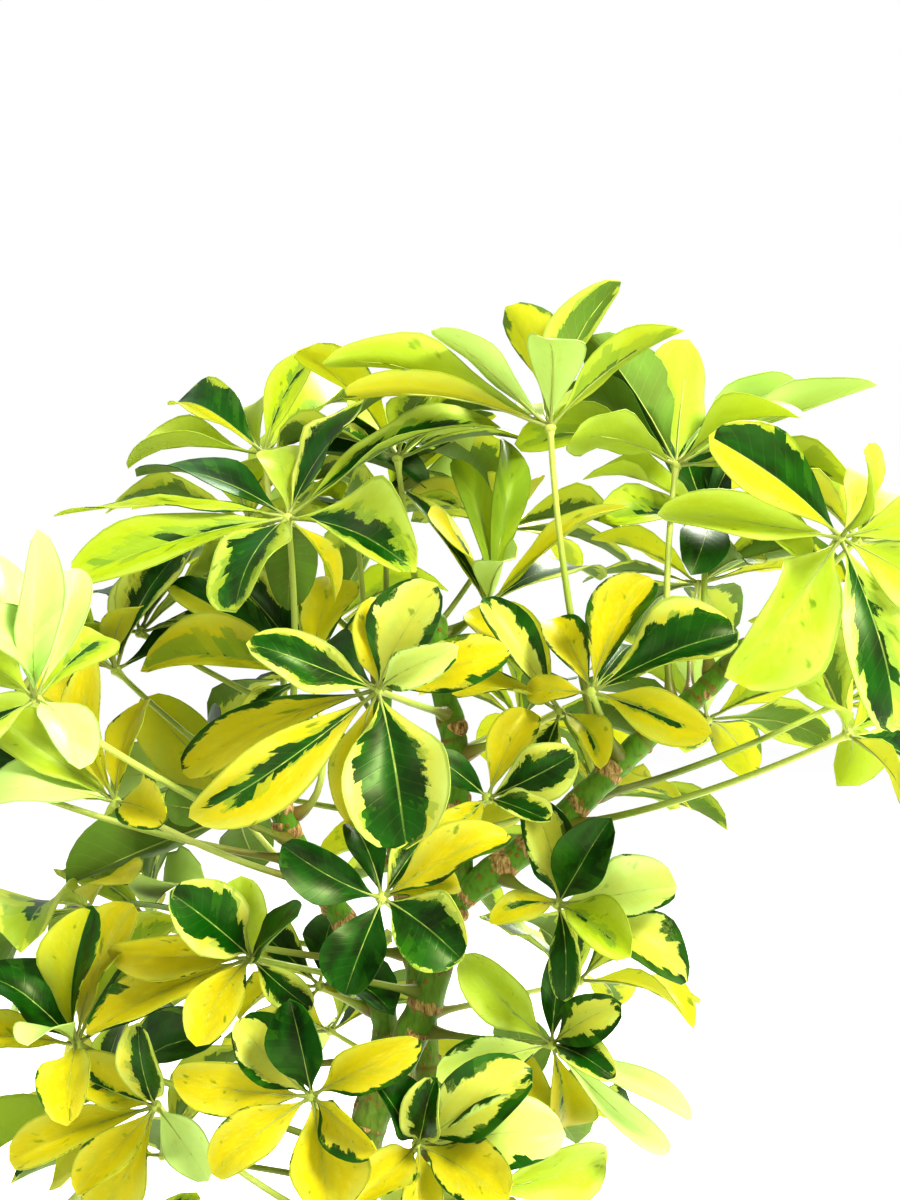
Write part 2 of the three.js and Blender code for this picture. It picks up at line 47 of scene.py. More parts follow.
# Camera at the photograph's viewing angle, level and a little right of the pot's middle
cameraLook = {"place": (0.035, -0.833, 0.605), "lens": 50, "sensor": 36}
cameraData = bpy.data.cameras.new("camera")
cameraData.lens = cameraLook["lens"]
cameraData.sensor_width = cameraLook["sensor"]
camera = bpy.data.objects.new("camera", cameraData)
camera.location = cameraLook["place"]
camera.rotation_euler = (math.radians(90), 0, 0)
scene.collection.objects.link(camera)
scene.camera = camera
print("camera set")


# Shader maths: a socket that can stand in a Python expression
class Value:
    def __init__(self, finish, socket):
        self.finish = finish
        self.socket = socket

    def math(self, operation, *others, clamp=False):
        sockets = dict(enumerate((self,) + others))
        return self.finish.add("ShaderNodeMath", {"operation": operation, "use_clamp": clamp}, sockets)

    def __add__(self, other):
        return self.math("ADD", other)

    __radd__ = __add__

    def __sub__(self, other):
        return self.math("SUBTRACT", other)

    def __rsub__(self, other):
        return (self * -1) + other

    def __mul__(self, other):
        return self.math("MULTIPLY", other)

    __rmul__ = __mul__

    def __abs__(self):
        return self.math("ABSOLUTE")

    def clamped(self):
        return self.math("ADD", 0, clamp=True)

    # A mask that leaves 0 past the start, or before it where the slope is below 0
    def past(self, start, slope):
        return ((self - start) * slope).clamped()

    # Noise moved to lie about 0
    def swing(self, amount):
        return (self - 0.5) * amount

    def output(self, name):
        return Value(self.finish, self.socket.node.outputs[name])


# A material under construction: add() makes any node and gives its first output
class Finish:
    def __init__(self, name):
        self.material = bpy.data.materials.new(name)
        self.material.use_nodes = True
        self.tree = self.material.node_tree
        self.tree.nodes.clear()

    def add(self, kind, settings, sockets):
        node = self.tree.nodes.new(kind)
        for name, setting in settings.items():
            setattr(node, name, setting)
        for name, value in sockets.items():
            if isinstance(value, Value):
                self.tree.links.new(value.socket, node.inputs[name])
            else:
                node.inputs[name].default_value = value
        return Value(self, node.outputs[0]) if node.outputs else self.material

    def attribute(self, name):
        vector = self.add("ShaderNodeAttribute", {"attribute_name": name}, {}).output("Vector")
        parts = self.add("ShaderNodeSeparateXYZ", {}, {"Vector": vector})
        return [parts.output(axis) for axis in "XYZ"]

    def objectSpot(self):
        return self.add("ShaderNodeTexCoord", {}, {}).output("Object")

    def spot(self, *parts):
        return self.add("ShaderNodeCombineXYZ", {}, dict(zip("XYZ", parts)))

    def stretched(self, spot, scale):
        return self.add("ShaderNodeMapping", {}, {"Vector": spot, "Scale": scale})

    def noise(self, spot, scale, detail=2.0, rough=0.5):
        sockets = {"Vector": spot, "Scale": scale, "Detail": detail, "Roughness": rough}
        return self.add("ShaderNodeTexNoise", {}, sockets)

    def cells(self, spot, scale):
        return self.add("ShaderNodeTexVoronoi", {}, {"Vector": spot, "Scale": scale})

    def mixed(self, factor, first, second):
        return self.add("ShaderNodeMix", {"data_type": "RGBA"}, {0: factor, 6: first, 7: second}).output(2)

    # Colours laid over a ground, each through its mask. A name stands for that colour of the look.
    def layered(self, look, ground, *layers):
        colour = look[ground]
        for mask, tone in layers:
            colour = self.mixed(mask, colour, look[tone] if isinstance(tone, str) else tone)
        return colour

    # Principled shader, whose bump is its height, strength and depth
    def shaded(self, colour, roughness, bump, sockets):
        normal = self.add("ShaderNodeBump", {}, dict(zip(("Height", "Strength", "Distance"), bump)))
        sockets = {"Base Color": colour, "Roughness": roughness, "Normal": normal, **sockets}
        return self.add("ShaderNodeBsdfPrincipled", {}, sockets)

    def finished(self, shader):
        return self.add("ShaderNodeOutputMaterial", {}, {"Surface": shader})


def screen(red, green, blue):
    def linear(part):
        part /= 255
        return part / 12.92 if part <= 0.04045 else ((part + 0.055) / 1.055) ** 2.4
    return (linear(red), linear(green), linear(blue), 1)


# Leaf finish: "place" is across from -1 to 1, along from 0 to 1, and a seed; "pattern" and "tint" are the numbers
# of the leaflet's kind. "sweep" leans the side veins towards the tip.
leafLook = {
    "yellow": screen(212, 194, 30), "gold": screen(188, 166, 14), "cream": screen(230, 240, 148),
    "lime": screen(172, 192, 40), "pale": screen(204, 232, 146), "dark": screen(12, 74, 4),
    "deep": screen(4, 42, 2), "patch": screen(62, 116, 18), "middle": screen(118, 152, 52),
    "rib": screen(176, 196, 96), "under": screen(154, 180, 78), "glow": screen(216, 222, 40),
    "veins": 12, "sweep": 2.4, "rough": 0.39, "underRough": 0.65, "underShare": 0.36, "veinShare": 0.045,
    "underVeinShare": 0.14, "coat": 0.06, "glowShare": 0.44, "sheen": (0.86, 1.0, 0.4, 1),
}


def leafFinish(name, under):
    look = leafLook
    finish = Finish(name)
    across, along, seed = finish.attribute("place")
    darkReach, middleReach, rimFrom = finish.attribute("pattern")
    limeTint, creamTint, half = finish.attribute("tint")
    out = abs(across)
    side = across.math("GREATER_THAN", 0)
    veins = along * look["veins"] - out * look["sweep"] + side * 0.5
    step = veins.math("FLOOR")
    within = abs(veins.math("FRACT") - 0.5) * 2

    # The boundaries jump from one side vein to the next, and wander and fray in between
    jump, jumpToo = (
        finish.add("ShaderNodeTexWhiteNoise", {}, {"Vector": finish.spot(step, side * a + seed * b, c)})
        for a, b, c in ((7, 31, 0.5), (5, 17, 9.5)))
    wander = finish.noise(finish.spot(veins * 0.24, side * 3 + out * 0.8, seed * 40), 1.0, 1.0)
    fray = finish.noise(finish.spot(veins * 1.1, out * 4.5, seed * 40), 1.7, 3.0, 0.6)
    strokes = finish.noise(finish.spot(veins * 0.5, out * 1.4 + side * 4, seed * 90), 1.5, 2.0, 0.6)
    cloud = finish.noise(finish.spot(along * 3, across * 1.5, seed * 60), 1.2, 2.0)
    edge = out.math("MAXIMUM", (along * 1.6 - 0.68).math("MAXIMUM", 0).math("POWER", 3.0))
    ragged = jump.swing(0.24) + wander.swing(0.85) + fray.swing(0.28)
    raggedToo = jumpToo.swing(0.3) + wander.swing(0.7) + fray.swing(0.4)
    lean = (side * 2 - 1) * half
    darkMask = ((darkReach + lean + ragged - edge) * 34).clamped()
    middleMask = ((middleReach + lean + raggedToo - edge) * 22).clamped()
    rimMask = ((edge - rimFrom + lean * 0.6 + ragged * 1.1) * 26).clamped()
    green = darkMask.math("MAXIMUM", rimMask)

    # From the ground colour up: gold clouds, a green flush at the foot, the tints, and the patterns over them
    flush = ((0.42 - along) * 1.6 + wander.swing(1.2) - out * 0.5).clamped()
    lime = (limeTint + cloud.swing(0.7)).clamped()
    cream = ((edge - 0.5) * 1.7 + cloud.swing(1.5) + jump.swing(0.15)).clamped() * (0.3 + creamTint * 1.6)
    pale = (creamTint + cloud.swing(0.3)).clamped()
    middle = middleMask * ((0.7 + jump.swing(0.5)) * (1.05 - creamTint * 0.7))
    patches = (jumpToo + wander.swing(1.6)).past(0.55, 3)
    patches = patches * (out - jump * 0.4 + fray.swing(1.6)).past(0.2, 4)
    strokeMask = strokes.past(0.66, 14) * (1 - creamTint) * 0.8
    darkTone = finish.layered(look, "dark", (cloud.past(0.42, 4), "deep"), (patches * 0.4, "patch"))
    veinMask = within.past(0.86, 7) * (1 - out * 0.7)
    ribMask = out.past(0.03, -60) * (1.15 - along).clamped()
    layers = [
        (cloud.past(0.42, 3) * 0.75, "gold"), (flush * 0.45, "middle"), (lime, "lime"), (cream, "cream"),
        (fray.past(0.5, 2.4) * 0.3, "cream"), (pale, "pale"), (middle, "middle"), (strokeMask, "patch"),
        (out.past(0.93, 30) * 0.4, "patch"), (green, darkTone),
        (veinMask * look["underVeinShare" if under else "veinShare"], "rib"), (ribMask * 0.68, "rib"),
    ]
    if under:
        layers.append((look["underShare"], "under"))

    height = (1 - ribMask) * 0.5 + (1 - veinMask) * 0.22 + fray * 0.1
    roughness = cloud.swing(0.16) + look["underRough" if under else "rough"]
    glossy = finish.shaded(finish.layered(look, "yellow", *layers), roughness, (height, 0.35, 0.0006), {
        "Specular Tint": look["sheen"], "IOR": 1.42, "Specular IOR Level": 0.45,
        "Coat Weight": 0.0 if under else look["coat"], "Coat Roughness": 0.3})
    glowing = finish.add("ShaderNodeBsdfTranslucent", {}, {"Color": look["glow"]})
    share = look["glowShare"] - (green * 0.36 + middleMask * 0.1 + creamTint * 0.36)
    return finish.finished(finish.add("ShaderNodeMixShader", {}, {0: share.clamped(), 1: glossy, 2: glowing}))


# Stalk finish: olive green, lighter towards the whorl and reddish brown at the foot. "place" is how creamy the
# stalk is, along from 0 to 1, and a seed that makes some stalks dull.
stalkLook = {"green": screen(116, 142, 38), "light": screen(170, 186, 72), "cream": screen(214, 216, 134),
             "foot": screen(118, 84, 40), "dull": screen(84, 92, 24)}


def stalkFinish():
    finish = Finish("stalk skin")
    creamShare, along, seed = finish.attribute("place")
    spot = finish.objectSpot()
    cloud = finish.noise(spot, 60.0, 3.0)
    grain = finish.noise(spot, 900.0, 2.0)
    light = (along * 0.9 + cloud.swing(0.8)).clamped()
    cream = (creamShare + cloud.swing(0.4)).clamped()
    dull = ((0.5 - seed) * 4 + cloud.swing(1.5)).clamped() * (1.1 - along).clamped()
    foot = ((0.34 - along) * 2.6 + cloud.swing(1.2)).clamped() * (seed * 1.3).clamped()
    colour = finish.layered(stalkLook, "green", (light, "light"), (cream, "cream"), (dull * 0.75, "dull"),
                            (foot, "foot"))
    return finish.finished(finish.shaded(colour, grain.swing(0.3) + 0.42, (grain, 0.3, 0.0004),
                                         {"Specular IOR Level": 0.4}))


# Stem finish: green bark, browner towards the soil, reddish rings at the leaf scars, corky lumps and rusty pores.
# "bark" is how near a scar is, the age of the bark, and how corky it is.
stemLook = {
    "young": screen(94, 136, 36), "old": screen(134, 128, 76), "scar": screen(112, 72, 36),
    "cork": screen(206, 178, 122), "corkDark": screen(112, 78, 42), "pore": screen(146, 92, 42),
    "shade": screen(58, 86, 22), "poreSize": 180, "sheen": (0.9, 1.0, 0.6, 1),
}


def stemFinish():
    finish = Finish("stem bark")
    scar, age, cork = finish.attribute("bark")
    spot = finish.objectSpot()
    drawn = finish.stretched(spot, (1, 1, 0.3))
    cloud = finish.noise(spot, 38.0, 4.0, 0.6)
    grain = finish.noise(drawn, 420.0, 4.0, 0.6)
    crust = finish.noise(drawn, 560.0, 3.0, 0.7)
    pores = finish.cells(spot, stemLook["poreSize"]).past(0.25, -12) * cloud.past(0.36, 6)
    scarMask = (scar * cloud.past(0.26, 4)).clamped()
    corkMask = ((cork + cloud.swing(2.2) + crust.swing(0.6) - 0.5) * 7).clamped()
    corkTone = finish.layered(stemLook, "corkDark", (((crust - 0.36) * 3 + (cloud - 0.5)).clamped(), "cork"))
    colour = finish.layered(
        stemLook, "young", ((age + cloud.swing(1.6)).clamped(), "old"), (grain.past(0.48, 4) * 0.7, "shade"),
        (cloud.past(0.47, -5) * 0.65, "shade"), (pores * 0.9, "pore"), (scarMask * 0.9, "scar"),
        (corkMask, corkTone))
    height = grain * 0.35 + pores * 0.6 + scar * 0.3 + corkMask * crust * 1.4
    roughness = grain.swing(0.3) + corkMask * 0.35 + 0.5
    return finish.finished(finish.shaded(colour, roughness, (height, 0.6, 0.0014),
                                         {"Specular IOR Level": 0.35, "Specular Tint": stemLook["sheen"]}))


# Pot finish: fired clay with grit, turning lines, a lighter bloom, and runs of lime near the foot and the rim
clayLook = {"clay": screen(160, 96, 66), "burnt": screen(122, 68, 46), "bloom": screen(196, 150, 122),
            "lime": screen(214, 194, 172)}


def clayFinish():
    finish = Finish("fired clay")
    spot = finish.objectSpot()
    cloud = finish.noise(spot, 9.0, 5.0, 0.6)
    grit = finish.noise(spot, 700.0, 3.0, 0.7)
    lines = finish.noise(finish.stretched(spot, (3, 3, 260)), 1.0, 3.0)
    runs = finish.noise(finish.stretched(spot, (34, 34, 7)), 1.0, 4.0, 0.6)
    pits = finish.cells(spot, 260.0).past(0.12, -12)
    height = finish.add("ShaderNodeSeparateXYZ", {}, {"Vector": spot}).output("Z")
    ends = height.past(0.045, -16).math("MAXIMUM", height.past(0.135, 14))
    lime = ((runs - 0.58 + ends * 0.14) * 5).clamped() * grit.past(0.25, 2.5)
    bloom = cloud.past(0.54, 5) * grit.past(0.3, 2)
    colour = finish.layered(
        clayLook, "burnt", ((grit * 1.2 - 0.1).clamped(), "clay"), (cloud.past(0.35, 1.8), "clay"),
        (bloom * 0.6, "bloom"), (lime * 0.55, "lime"), (pits * 0.5, "burnt"))
    relief = grit * 0.4 + lines * 0.5 - pits * 0.6 + lime * 0.1
    return finish.finished(finish.shaded(colour, grit.swing(0.2) + 0.82, (relief, 0.45, 0.0012),
                                         {"Specular IOR Level": 0.3}))


# Soil finish: dark compost with fibres and paler bits
soilLook = {"dark": screen(38, 27, 20), "brown": screen(84, 60, 40), "bark": screen(122, 84, 52)}


def soilFinish():
    finish = Finish("compost")
    spot = finish.objectSpot()
    cloud = finish.noise(spot, 60.0, 5.0, 0.65)
    grain = finish.noise(spot, 600.0, 4.0, 0.7)
    colour = finish.layered(soilLook, "dark", (cloud.past(0.4, 3), "brown"), (grain.past(0.62, 8) * 0.6, "bark"))
    return finish.finished(finish.shaded(colour, grain.swing(0.15) + 0.9, (grain + cloud, 0.9, 0.003),
                                         {"Specular IOR Level": 0.2}))


# Grit in the soil: pale mineral crumbs and chips of bark
def crumbFinish(name, first, second):
    finish = Finish(name)
    spot = finish.objectSpot()
    cloud = finish.noise(spot, 120.0, 3.0, 0.6)
    grain = finish.noise(spot, 1500.0, 2.0)
    colour = finish.mixed(cloud, first, second)
    return finish.finished(finish.shaded(colour, grain.swing(0.2) + 0.85, (grain, 0.6, 0.0006), {}))


leafTop = leafFinish("leaf upper side", False)
leafUnder = leafFinish("leaf underside", True)
stalkSkin = stalkFinish()
stemBark = stemFinish()
firedClay = clayFinish()
compost = soilFinish()
paleGrit = crumbFinish("pale grit", screen(214, 208, 196), screen(236, 232, 224))
barkChip = crumbFinish("bark chip", screen(96, 64, 40), screen(142, 102, 66))
print("finishes made")


def mix(low, high, part):
    return low + (high - low) * part


def held(value):
    return min(max(value, 0), 1)


# 1 at the place, and fading away from it over about the width
def nearness(at, place, width):
    return math.exp(-((at - place) / width) ** 2)


# Even steps from 0 to 1, drawn together towards both ends
def eased(part, amount):
    return mix(part, (1 - math.cos(math.pi * part)) / 2, amount)


# Curves read by their arc length
class Path:
    def __init__(self, raw, parts=200):
        self.raw = raw
        self.parts = parts
        self.lengths = [0.0]
        spots = [raw(i / parts) for i in range(parts + 1)]
        for before, after in zip(spots, spots[1:]):
            self.lengths.append(self.lengths[-1] + (after - before).length)
        self.length = self.lengths[-1]

    def share(self, part):
        target = held(part) * self.length
        i = min(bisect_right(self.lengths, target) - 1, self.parts - 1)
        return (i + (target - self.lengths[i]) / (self.lengths[i + 1] - self.lengths[i])) / self.parts

    def point(self, part):
        return self.raw(self.share(part))

    def heading(self, part, nudge=1e-4):
        t = self.share(part)
        return (self.raw(min(t + nudge, 1)) - self.raw(max(t - nudge, 0))).normalized()

    def partAtHeight(self, height, halvings=30):
        low, high = 0.0, 1.0
        for _ in range(halvings):
            middle = (low + high) / 2
            if self.point(middle).z < height:
                low = middle
            else:
                high = middle
        return low


# A curve through the points, whose pace between two of them goes with the root of their distance
def throughPoints(points):
    ends = [points[0] * 2 - points[1]] + points + [points[-1] * 2 - points[-2]]

    def raw(t):
        place = t * (len(points) - 1)
        i = min(int(place), len(points) - 2)
        w = place - i
        before, start, end, after = ends[i:i + 4]
        first, middle, last = ((b - a).length ** 0.5 for a, b in zip(ends[i:i + 3], ends[i + 1:i + 4]))
        leave = ((start - before) / first - (end - before) / (first + middle) + (end - start) / middle) * middle
        arrive = ((end - start) / middle - (after - start) / (middle + last) + (after - end) / last) * middle
        cubic = start * 2 - end * 2 + leave + arrive
        square = end * 3 - start * 3 - leave * 2 - arrive
        return start + leave * w + square * w * w + cubic * w * w * w
    return raw


def bowed(start, first, second, end):
    def raw(t):
        u = 1 - t
        return start * u ** 3 + first * (3 * u * u * t) + second * (3 * u * t * t) + end * t ** 3
    return raw


# Stems, as in the solids: centre line, radii at foot and tip
stems = {
    "main": {
        "path": [(0, 0, 190), (-12, 0, 260), (-8, 0, 335), (10, 0, 375), (25, 0, 410), (33, 1, 440),
                 (39, 3, 466), (38, 5, 495), (37, 7, 535), (31, 9, 562), (28, 11, 592)],
        "radii": (12.5, 6), "rooted": True},
    "right": {
        "path": [(38, 2, 455), (56, -2, 469), (75, -4, 483), (105, -6, 510), (130, -8, 535),
                 (160, -8, 560), (180, -6, 580)],
        "radii": (8.2, 5), "rooted": False},
    "left": {
        "path": [(-30, 30, 190), (-24, 33, 270), (-8, 33, 340), (1, 31, 385), (-8, 28, 412),
                 (-20, 25, 440), (-36, 20, 466), (-48, 16, 490), (-54, 14, 515)],
        "radii": (9.5, 5.5), "rooted": True},
    "back": {
        "path": [(28, 34, 190), (27, 52, 290), (19, 74, 390), (4, 92, 480), (-4, 100, 540), (4, 106, 585)],
        "radii": (9.5, 5.2), "rooted": True},
}
buried = (110, 160)     # heights at which a rooted stem stands straight in the soil

for stem in stems.values():
    path = stem["path"]
    if stem["rooted"]:
        path = [(*path[0][:2], height) for height in buried] + path
    stem["curve"] = Path(throughPoints([Vector(point) * mm for point in path]))


def stemRadius(stem, part):
    return mix(*stem["radii"], part) * mm


# Leaves of the front in millimetres, as in the solids but for one narrower leaflet: stem, height of the foot,
# hub as seen x and z and its depth, the way the whorl faces, a colour letter for each leaflet, and each tip as
# seen with its depth from the hub and its width where that isn't the usual one, or one length for leaflets
# that stand evenly round the hub
frontLeaves = [
    ("main", 548, (-1, 560, -70), (0, -1, 0.25), "ddsoyygbmw", (
        (12, 482, -30, 50), (-64, 585, -28, 26), (-94, 494, -22, 32), (-100, 518, 16, 22), (-15, 491, 8),
        (-3, 606, -12, 26), (-27, 586, 36), (33, 617, -16, 32), (64, 580, -14, 26), (34, 578, -46, 18))),
    ("right", 519, (85, 691, -20), (0, 0.55, 0.85), "plomlpdv", (
        (28, 744, -25, 21), (-26, 732, -15, 24), (-20, 706, -30, 22), (64, 751, 46), (83, 745, 58),
        (85, 741, -55, 28), (116, 764, 20, 26), (151, 741, -22, 22))),
    ("right", 549, (148, 672, 20), (0, 0.6, 0.8), "lggnlppvl", (
        (156, 736, 25, 38), (105, 738, 15), (96, 713, 46), (70, 688, 20, 32), (95, 687, -44), (250, 709, -10, 30),
        (205, 720, 36), (242, 662, -20, 34), (210, 697, -50))),
    ("right", 572, (230, 636, -110), (0.1, -0.9, 0.4), "hlllxlll", (
        (163, 687, -28, 32), (240, 680, -55, 24), (140, 651, -10, 20), (178, 565, -25, 44), (260, 540, -15, 36),
        (300, 657, 0), (290, 592, -20), (252, 668, 50))),
    ("right", 566, (164, 645, 50), (0.1, -0.5, 0.85), "glngldg", 66),
    ("right", 526, (106, 559, -45), (-0.25, -0.75, 0.6), "dmcmdy", (
        (178, 591, -18, 38), (135, 616, 8, 26), (163, 537, -28, 24), (96, 596, 42), (128, 584, 54),
        (72, 560, 20))),
    ("main", 527, (90, 549, -15), (-0.3, -0.6, 0.8), "bywycd", (
        (58, 615, -10, 24), (45, 600, 30), (82, 588, -45, 22), (36, 566, -10), (118, 532, -40), (76, 506, -30))),
    ("left", 511, (-46, 646, -10), (0, -0.55, 0.85), "enkkgltkcg", (
        (-163, 646, -20, 26), (-155, 614, -38, 28), (-75, 602, -58, 44), (16, 623, -46, 40), (-120, 672, 24),
        (-54, 682, 34, 26), (2, 707, 26, 40), (58, 708, -10, 24), (-22, 606, 26, 26), (-46, 600, 44, 28))),
    ("left", 499, (-58, 678, 74), (-0.1, -0.5, 0.85), "nhlggln", (
        (-31, 731, 16, 26), (-102, 706, 34), (-127, 678, 10), (24, 680, 24, 26), (26, 662, 0, 30), (-66, 704, 62),
        (-12, 706, 62))),
    ("main", 586, (54, 602, 20), (0, -0.5, 0.85), "ydqqfpd", (
        (24, 648, -38), (15, 665, 0, 19), (37, 675, 22, 18), (68, 688, 26, 20), (130, 650, -12, 34),
        (62, 641, -42, 24), (110, 622, 46))),
    ("left", 484, (-172, 555, -130), (0.2, -0.7, 0.7), "zzpzlxnz", (
        (-188, 630, -8, 20), (-168, 638, -44, 20), (-150, 622, 20, 18), (-192, 606, -58, 24), (-222, 585, -20),
        (-222, 522, -25), (-138, 586, 56), (-150, 520, -40))),
    ("left", 506, (-132, 570, 40), (-0.2, -0.6, 0.8), "nypyddg", (
        (-162, 600, -44, 30), (-128, 607, -58, 20), (-166, 586, -34), (-162, 578, 30), (-101, 630, 5, 26),
        (-112, 624, 30), (-84, 592, 40, 28))),
    ("left", 463, (-132, 504, -30), (-0.3, -0.65, 0.7), "yylgpvym", (
        (-167, 578, 8, 26), (-148, 573, -30, 22), (-196, 560, -14, 32), (-202, 535, 6, 24), (-200, 510, -30),
        (-168, 497, 38, 32), (-118, 556, 34), (-100, 500, -46))),
    ("left", 440, (-70, 498, 62), (-0.3, 0.9, 0.3), "ggydgy", (
        (-156, 462, -30, 44), (-110, 503, -30), (-120, 556, 26), (-40, 556, 50), (-60, 470, 60), (-112, 520, 66))),
    ("left", 494, (-34, 566, 28), (-0.2, -0.75, 0.65), "fhdymd", (
        (-118, 578, -20, 32), (-105, 612, 14, 28), (-70, 606, 52), (-20, 618, 42), (20, 592, 22),
        (-66, 540, -40))),
    ("main", 330, (-152, 383, -60), (-0.2, -0.6, 0.8), "hyvgypyg", (
        (-143, 453, -8, 28), (-122, 453, 6), (-106, 450, 22), (-196, 426, -12, 30), (-216, 387, -18),
        (-182, 384, -54, 24), (-158, 346, -52), (-100, 402, 40))),
    ("left", 394, (-30, 412, 30), (-0.3, -0.5, 0.8), "gdydgy", 54),
    ("main", 408, (-64, 426, -62), (-0.1, -0.9, 0.4), "yodlgyd", (
        (-136, 426, -16, 21), (-147, 388, -14, 23), (-104, 459, -36, 34), (-68, 466, -16, 22), (-40, 446, -50),
        (-92, 382, -46), (-34, 400, -18))),
    ("main", 436, (1, 456, -80), (0, -1, 0.25), "ggtogdy", (
        (-49, 483, -12, 24), (-18, 408, -18, 30), (41, 425, -20, 34), (62, 491, -10, 23), (-14, 494, 26),
        (22, 486, 28), (40, 462, 14))),
    ("right", 471, (89, 453, -30), (0.2, -0.9, 0.4), "bgwbtnc", (
        (75, 506, -14, 26), (113, 494, -34), (148, 463, -12, 28), (155, 416, -12, 34), (92, 405, -22, 16),
        (124, 428, -46), (56, 446, -24))),
    ("main", 392, (86, 383, -12), (0.1, -0.9, 0.45), "lgbdwppc", (
        (41, 428, -16, 26), (93, 438, -12, 16), (120, 403, -30, 24), (111, 376, -42), (28, 366, -16, 24),
        (158, 348, -10, 14), (146, 328, 0, 14), (90, 340, 34))),
    ("main", 318, (-34, 357, -84), (0, -1, 0.25), "goyyymb", (
        (-45, 406, -14, 26), (20, 383, -14, 24), (-104, 366, -10, 26), (-85, 320, -18, 24), (-25, 298, -20, 34),
        (-2, 330, -34), (-74, 392, -10, 28))),
    ("main", 290, (-112, 352, -48), (-0.1, -0.9, 0.35), "cyydpy", (
        (-158, 371, -18, 24), (-186, 325, -10, 23), (-152, 308, -20, 24), (-122, 392, -28), (-88, 318, -34),
        (-140, 296, 10))),
    ("main", 303, (19, 333, -62), (0.1, -1, 0.25), "gdbwyym", (
        (-2, 366, -28), (25, 376, -22), (73, 371, -14, 32), (91, 340, -16, 34), (-12, 304, -40), (22, 284, -26),
        (64, 304, -30, 30))),
    ("main", 270, (48, 308, -26), (0.5, -0.7, 0.4), "pwypmly", 74),
    ("right", 496, (234, 538, -50), (0.8, -0.1, 0.6), "dlycdnl", 74),
    ("right", 510, (228, 553, 26), (0.7, 0.3, 0.7), "ldnyldc", 76),
    ("main", 492, (54, 506, -42), (0.1, -0.9, 0.5), "dygdc", (
        (98, 528, -14, 28), (76, 550, 14), (26, 528, -10), (88, 490, -30), (30, 480, -28))),
]

# Leaves of the sides, back and foot: stem, height of the foot, heading, rise, stalk, leaflets, their length
roundLeaves = [
    ("back", 580, 95, 62, 96, 8, 84), ("back", 571, 160, 42, 120, 7, 86), ("back", 562, 35, 46, 118, 8, 84),
    ("back", 550, 250, 70, 100, 7, 80), ("back", 538, 110, 22, 128, 8, 84), ("back", 522, 200, 26, 150, 7, 84),
    ("back", 505, 55, 10, 140, 8, 82), ("back", 486, 145, 4, 138, 7, 82), ("back", 466, 10, 14, 118, 7, 76),
    ("back", 442, 85, -4, 132, 8, 80), ("back", 412, 175, 6, 150, 7, 82), ("back", 380, 35, 2, 110, 7, 76),
    ("back", 346, 120, 0, 120, 7, 78), ("back", 300, 60, 4, 108, 6, 74), ("right", 578, 20, 40, 90, 7, 78),
    ("right", 556, 80, 30, 116, 7, 80), ("right", 534, 65, 2, 118, 7, 78), ("main", 574, 130, 72, 110, 7, 82),
    ("left", 474, 195, 16, 160, 7, 84), ("left", 420, 170, 8, 150, 7, 82), ("left", 366, 190, -4, 140, 7, 80),
    ("left", 300, 150, -2, 124, 7, 76), ("left", 250, 205, 6, 118, 6, 74), ("main", 244, 300, 0, 112, 7, 76),
    ("main", 222, 20, 6, 104, 6, 72),
]

# Colour letters: reach of the dark green and of the grey-green out from the rib, where a dark rim begins,
# lime and cream tints, and how much more green one half has than the other
leafletKinds = {
    "b": (-0.5, -0.3, 0.64, 0.1, 0.35, 0.1),  # cream with a broad dark margin
    "c": (0.08, 0.2, 2, 0.1, 0.0, 0.06),      # yellow with a dark streak along the rib
    "d": (0.67, 0.73, 2, 0.1, 0.26, 0.05),    # dark middle, ragged yellow margin
    "e": (-0.5, -0.2, 0.95, 0.9, 0.0, 0.1),   # lime with a thin dark edge
    "f": (-0.3, 0.36, 2, 0.15, 0.0, 0.3),     # yellow with grey-green blotches
    "g": (1.5, 1.6, 2, 0.2, 0.0, 0),          # green all over
    "h": (0.4, 0.5, 2, 0.4, 0.0, 0.6),        # one half green
    "k": (0.52, 0.68, 2, 0.85, 0.1, 0.06),    # dark middle, lime margin
    "l": (-0.5, -0.1, 2, 1.0, 0.12, 0),       # lime
    "m": (-0.5, -0.4, 0.82, 0.0, 0.0, 0.16),  # yellow with a dark margin, broader on one side
    "n": (0.0, 0.34, 2, 1.0, 0.0, 0.1),       # lime with a green patch
    "o": (-0.5, -0.4, 0.92, 0.0, 0.0, 0.3),   # yellow with a dark margin on one side
    "p": (-0.6, -0.4, 1.3, 0.7, 0.85, 0),     # pale
    "q": (-0.4, 1.5, 2, 1.0, 0.0, 0),         # fresh green all over
    "s": (0.32, 0.38, 2, 0.0, 0.05, 0.08),    # yellow with a broad dark streak
    "t": (0.86, 0.95, 2, 0.2, 0.2, 0.12),     # dark with a thin broken margin
    "v": (0.1, 0.66, 2, 0.6, 0.1, 0.1),       # grey-green middle, ragged lime margin
    "w": (-0.4, -0.2, 0.98, 0.3, 0.6, 0.06),  # cream with a few dark marks at its margin
    "x": (0.4, 0.56, 2, 1.0, 0.25, 0.25),     # pale lime with a dark patch
    "y": (-0.5, -0.4, 1.1, 0.0, 0.0, 0),      # yellow with a few strokes and dark spots at its margin
    "z": (-0.6, 1.5, 1.3, 0.7, 0.85, 0.1),    # pale with a green cast
}
roundKinds = "ddddtskkvfyycmbogghnqlwp"

# The eye that the front's leaves were placed from, which stays where it is when the camera moves
eye = Vector((35, -833, 605)) * mm


# The solids' own row of draws
def drawsOf(seed, modulus=2147483647):
    state = (seed * 7919 + 104729) % modulus
    while True:
        state = state * 16807 % modulus
        yield state / modulus


def seenAt(x, z, depth):
    return (Vector((x * mm, 0, z * mm)) - eye) * (1 - depth * mm / eye.y) + eye


